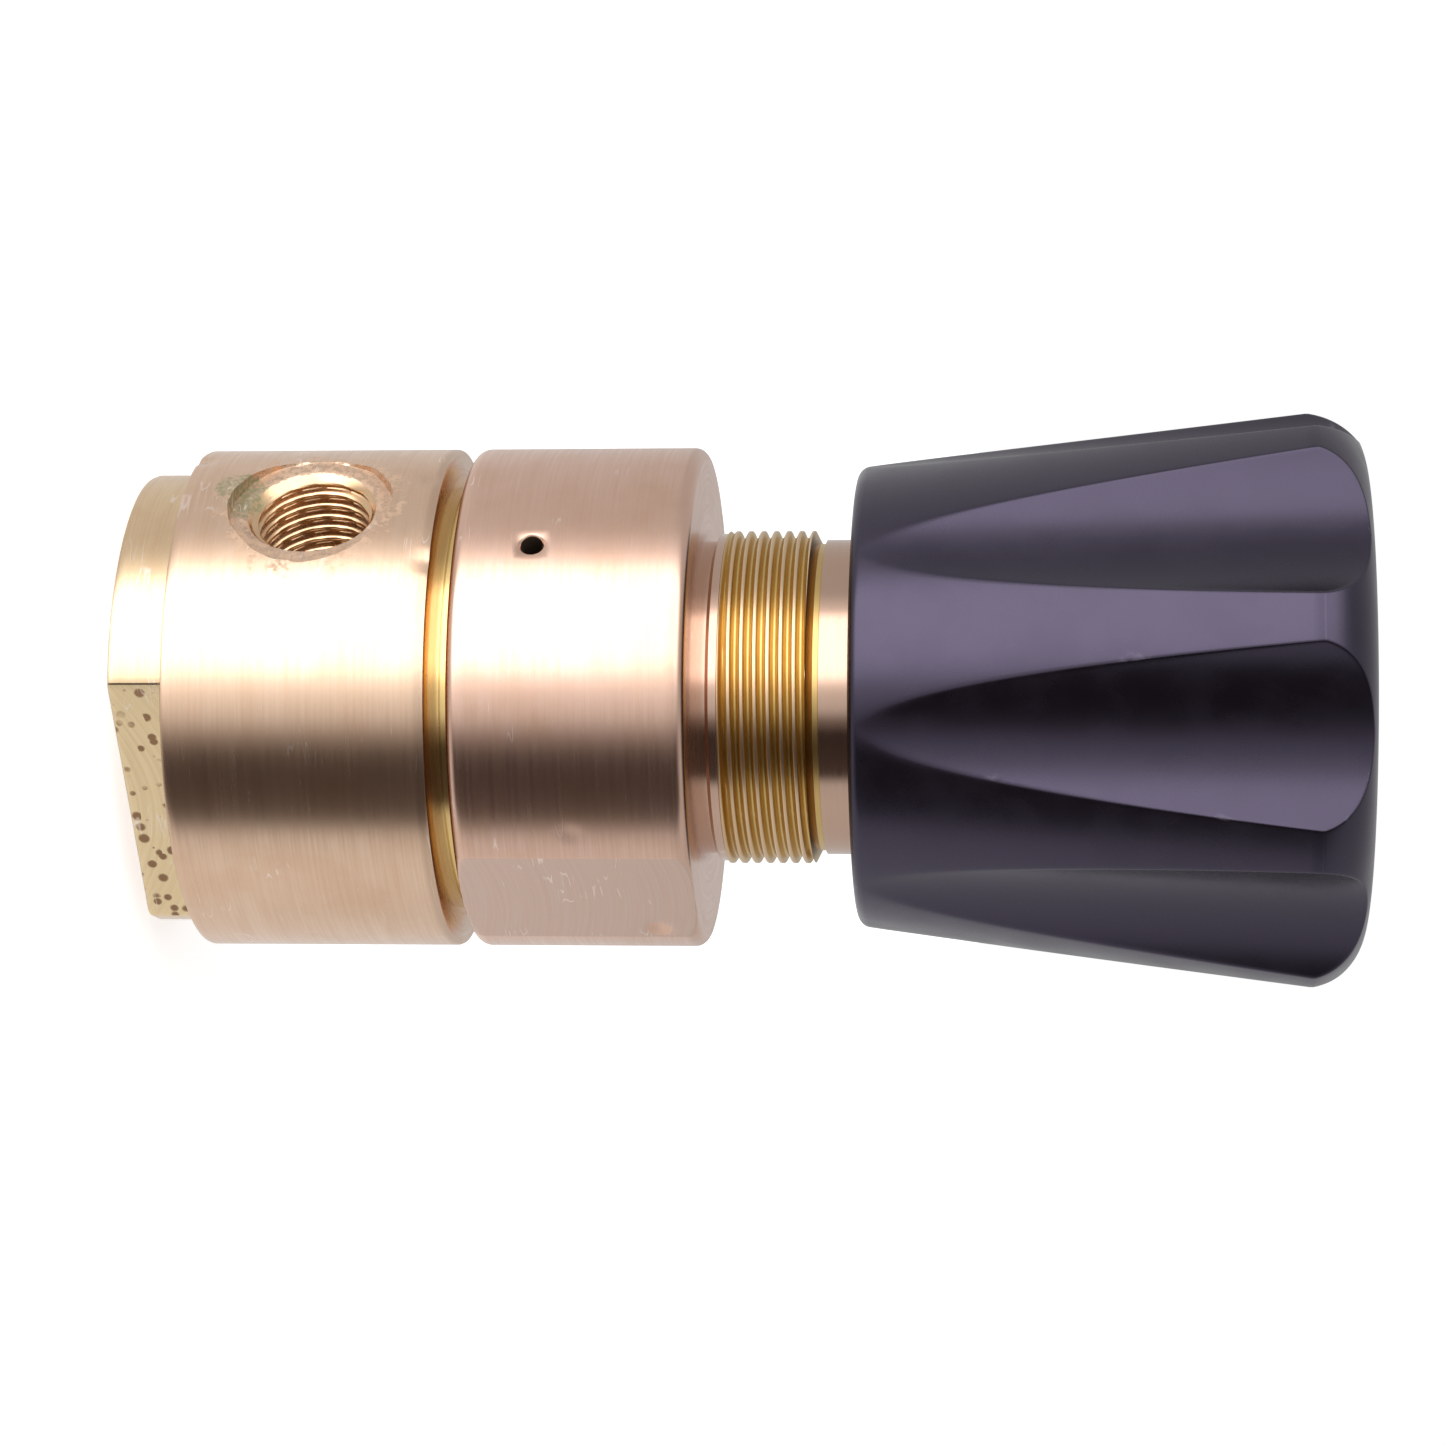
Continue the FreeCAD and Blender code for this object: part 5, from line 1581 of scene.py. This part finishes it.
@dataclass
class Regulator:
    """The whole regulator: three brass shells, the knob and what they hold."""

    effects: Effects

    def dress_nodes(self) -> None:
        """Give each kept node its material."""
        finishes = {slot: finish.make(self.effects) for slot, finish in slot_finishes().items()}
        self.knob_finish = finishes[Slot.BLACK_KNOB]
        for name, slot in NODE_SLOTS.items():
            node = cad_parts[name]
            if not node.material_slots:
                node.data.materials.append(finishes[slot])
            for holder in node.material_slots:
                holder.link = "OBJECT"
                holder.material = finishes[slot]
            LOG.info("dressed %s as %s", name, slot.value)

    def place(self, piece: bpy.types.Object, node: str, body: str, slot: Slot) -> None:
        """Put a piece in the frame in place of a node.

        Args:
            piece: The piece.
            node: The node that it stands for.
            body: The body that it rides on.
            slot: The record's slot of its finish. Not used.
        """
        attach(piece, body)
        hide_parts(node)
        LOG.info("built %s for %s, %d faces", piece.name, node, len(piece.data.polygons))

    def brass_pieces(self) -> None:
        """Build the cap, the body and the bonnet."""
        green = tuple(PORT_MOUTH + VERDIGRIS_SHIFT)
        # The cap's flat is painted lighter and yellower: partly the worn brass's colour, partly a
        # painted reflection of the bright ground below.
        cap = BrassFinish(
            "pitted cap brass", colour=(0.80, 0.60, 0.38, 1.0),
            flat_angle=CAP_FLAT, flat_distance=18.15 * MM,
            flat_colour=(0.84, 0.66, 0.40, 1.0), pitted=True, tarnish_share=0.40,
            scratch_patches=0.58)
        body = BrassFinish(
            "stained body brass", stain_centre=tuple(PORT_MOUTH), stain_reach=10.2 * MM,
            verdigris_centre=green, verdigris_reach=3.4 * MM, scratch_patches=0.60)
        pipe = BrassFinish(
            "port thread brass", colour=(0.86, 0.60, 0.36, 1.0), roughness=0.22,
            tarnish_share=0.5, mark_depth=0.1, scratch_patches=0.9,
            verdigris_centre=green, verdigris_reach=2.4 * MM)
        bonnet = BrassFinish(
            "bonnet brass", colour=(0.78, 0.53, 0.425, 1.0), scratch_patches=0.64,
            flat_angle=BONNET_FLAT)
        # Thread brass darker and more golden than the bonnet's, crests lighter: painted shade in
        # the valleys, painted highlight on the crests.
        thread = BrassFinish(
            "panel thread brass", colour=(0.68, 0.48, 0.19, 1.0),
            tarnish=(0.48, 0.29, 0.10, 1.0), crest_highlight=(0.74, 0.53, 0.33, 1.0), roughness=0.27,
            tarnish_share=0.4, mark_depth=0.1, scratch_patches=0.85)
        # Darker copy of the bonnet brass for the undercut, collar and neck: painted shade beside
        # the shoulder and knob.
        neck = BrassFinish(
            "neck brass with painted shade", colour=(0.60, 0.42, 0.33, 1.0), roughness=0.13, tarnish_share=0.15,
            mark_depth=0.12, scratch_patches=0.8)
        # Dark brass for the vent's walls: painted shade inside the narrow vent, on a rougher
        # surface.
        bore = BrassFinish(
            "vent bore brass with painted shade", colour=(0.20, 0.16, 0.13, 1.0), roughness=0.45,
            tarnish=(0.12, 0.09, 0.07, 1.0), scratch_patches=0.9)
        boss = BrassFinish(
            "boss brass", colour=(0.80, 0.58, 0.24, 1.0), roughness=0.15, tarnish_share=0.2,
            mark_depth=0.1, scratch_patches=0.8)
        finishes = (cap, body, pipe, bonnet, thread, neck, boss, bore)
        made = {finish.name: finish.make(self.effects) for finish in finishes}
        shells = (
            (BottomCap([made[cap.name]]), "bottom_cap"),
            (RegulatorBody([made[body.name], made[pipe.name]]), "regulator_body"),
            (Bonnet([made[f.name] for f in (bonnet, thread, neck, boss, bore)]), "bonnet"),
        )
        for shell, node in shells:
            self.place(shell.build(), node, "housing", Slot.TURNED_BRASS)

    def knob_piece(self) -> None:
        """Build the knob."""
        knob = Knob([self.knob_finish])
        self.place(knob.build(), "knob", "knob_group", Slot.BLACK_KNOB)

    def build(self) -> None:
        """Build and dress everything."""
        self.dress_nodes()
        for spring in SPRINGS:
            spring.shorten()
        self.brass_pieces()
        self.knob_piece()


@dataclass
class Studio:
    """The floor, the light and the camera."""

    camera_distance: float = 413.0 * MM
    camera_height: float = 99.2 * MM
    aim_height: float = 60.2 * MM
    aim_drop: float = 2.67 * MM
    lens: float = 98.1
    floor_radius: float = 3.0
    light_turns: tuple[tuple[float, float], ...] = (
        (-180.0, 0.62), (-120.0, 0.62), (-88.0, 0.66), (-67.0, 0.62), (-59.0, 0.07),
        (-26.0, 0.04), (-17.0, 0.24), (-9.0, 0.70), (2.0, 0.86), (8.0, 1.15), (14.0, 2.3),
        (18.0, 2.6), (58.0, 2.6), (65.0, 0.98), (80.0, 0.54), (110.0, 0.54), (180.0, 0.60),
    )
    low_boost: float = 0.36

    def camera(self) -> None:
        """Set the camera level with the knob's foot, rolled so that +Z points right."""
        towards = heading(VIEW_ANGLE)
        across = heading(VIEW_ANGLE + math.pi / 2.0)
        place = towards * self.camera_distance + UP * self.camera_height
        place += across * self.aim_drop
        aim = across * self.aim_drop + UP * self.aim_height
        back = (place - aim).normalized()
        right = (UP - back * UP.dot(back)).normalized()
        upward = back.cross(right)
        data = bpy.data.cameras.new("camera")
        data.lens = self.lens
        data.clip_start = 0.01
        camera = bpy.data.objects.new("camera", data)
        turn = Matrix((right, upward, back)).transposed()
        camera.matrix_world = Matrix.Translation(place) @ turn.to_4x4()
        bpy.context.scene.collection.objects.link(camera)
        bpy.context.scene.camera = camera

    def floor(self) -> None:
        """Lay a plain pale floor under the cap."""
        bpy.ops.mesh.primitive_circle_add(
            vertices=96, radius=self.floor_radius, fill_type="NGON", location=(0.0, 0.0, 0.0))
        floor = bpy.context.active_object
        floor.name = "floor"
        material, _, shader = new_material("pale floor")
        shader.inputs["Base Color"].default_value = (0.9, 0.9, 0.9, 1.0)
        shader.inputs["Roughness"].default_value = 0.9
        shader.inputs["Emission Color"].default_value = (1.0, 1.0, 1.0, 1.0)
        shader.inputs["Emission Strength"].default_value = 0.60
        floor.data.materials.append(material)
        floor.visible_glossy = False

    def light(self) -> None:
        """Light the studio with a broad soft panel and a dark card, all at fixed places."""
        world = bpy.data.worlds.new("studio")
        bpy.context.scene.world = world
        world.use_nodes = True
        world.node_tree.nodes.clear()
        bench = Bench(world.node_tree)
        ray = bench.add("ShaderNodeTexCoord").outputs["Generated"]
        along = tuple(heading(VIEW_ANGLE))
        above = tuple(heading(VIEW_ANGLE - math.pi / 2.0))
        front = bench.add("ShaderNodeVectorMath", {0: ray, 1: along}, operation="DOT_PRODUCT")
        side = bench.add("ShaderNodeVectorMath", {0: ray, 1: above}, operation="DOT_PRODUCT")
        turn = bench.maths("ARCTAN2", side.outputs["Value"], front.outputs["Value"])
        share = bench.maths("MULTIPLY_ADD", turn, 0.5 / math.pi, 0.5)
        ramp = bench.add("ShaderNodeValToRGB", {"Fac": share})
        peak = max(value for _, value in self.light_turns)
        stops = ramp.color_ramp.elements
        for number, (degrees, value) in enumerate(self.light_turns):
            place = degrees / 360.0 + 0.5
            if number < 2:
                stop = stops[number]
                stop.position = place
            else:
                stop = stops.new(place)
            share = value / peak
            warm = smooth_step(0.0, 0.5, value)
            stop.color = (share, share * (0.78 + 0.22 * warm), share * (0.72 + 0.28 * warm), 1.0)
        rise = bench.add("ShaderNodeSeparateXYZ", {"Vector": ray}).outputs["Z"]
        pole = bench.range(bench.maths("ABSOLUTE", rise), 0.6, 0.95)
        card = bench.blend(pole, ramp.outputs["Color"], (0.2, 0.2, 0.2, 1.0))
        lower = bench.range(bench.maths("MULTIPLY", rise, -1.0), 0.02, 0.22)
        power = bench.maths("MULTIPLY_ADD", lower, peak * self.low_boost, peak)
        lit = bench.add("ShaderNodeBackground", {"Color": card, "Strength": power})
        plain = bench.add("ShaderNodeBackground", {"Color": (1.0, 1.0, 1.0, 1.0)})
        seen = bench.add("ShaderNodeLightPath").outputs["Is Camera Ray"]
        mixed = bench.add(
            "ShaderNodeMixShader",
            {0: seen, 1: lit.outputs["Background"], 2: plain.outputs["Background"]})
        bench.add("ShaderNodeOutputWorld", {"Surface": mixed.outputs["Shader"]})

    def build(self) -> None:
        """Set up the studio."""
        self.floor()
        self.light()
        self.camera()
        bpy.context.scene.view_settings.view_transform = "Standard"


def main() -> None:
    """Build the regulator and its studio."""
    logging.basicConfig(level=logging.INFO)
    effects = Effects(TurningMarks(), Grain(), Stain(), Scratches(), Pits(), EdgeWear())
    Studio().build()
    Regulator(effects).build()
    bpy.context.view_layer.update()


if __name__ == "__main__":
    main()
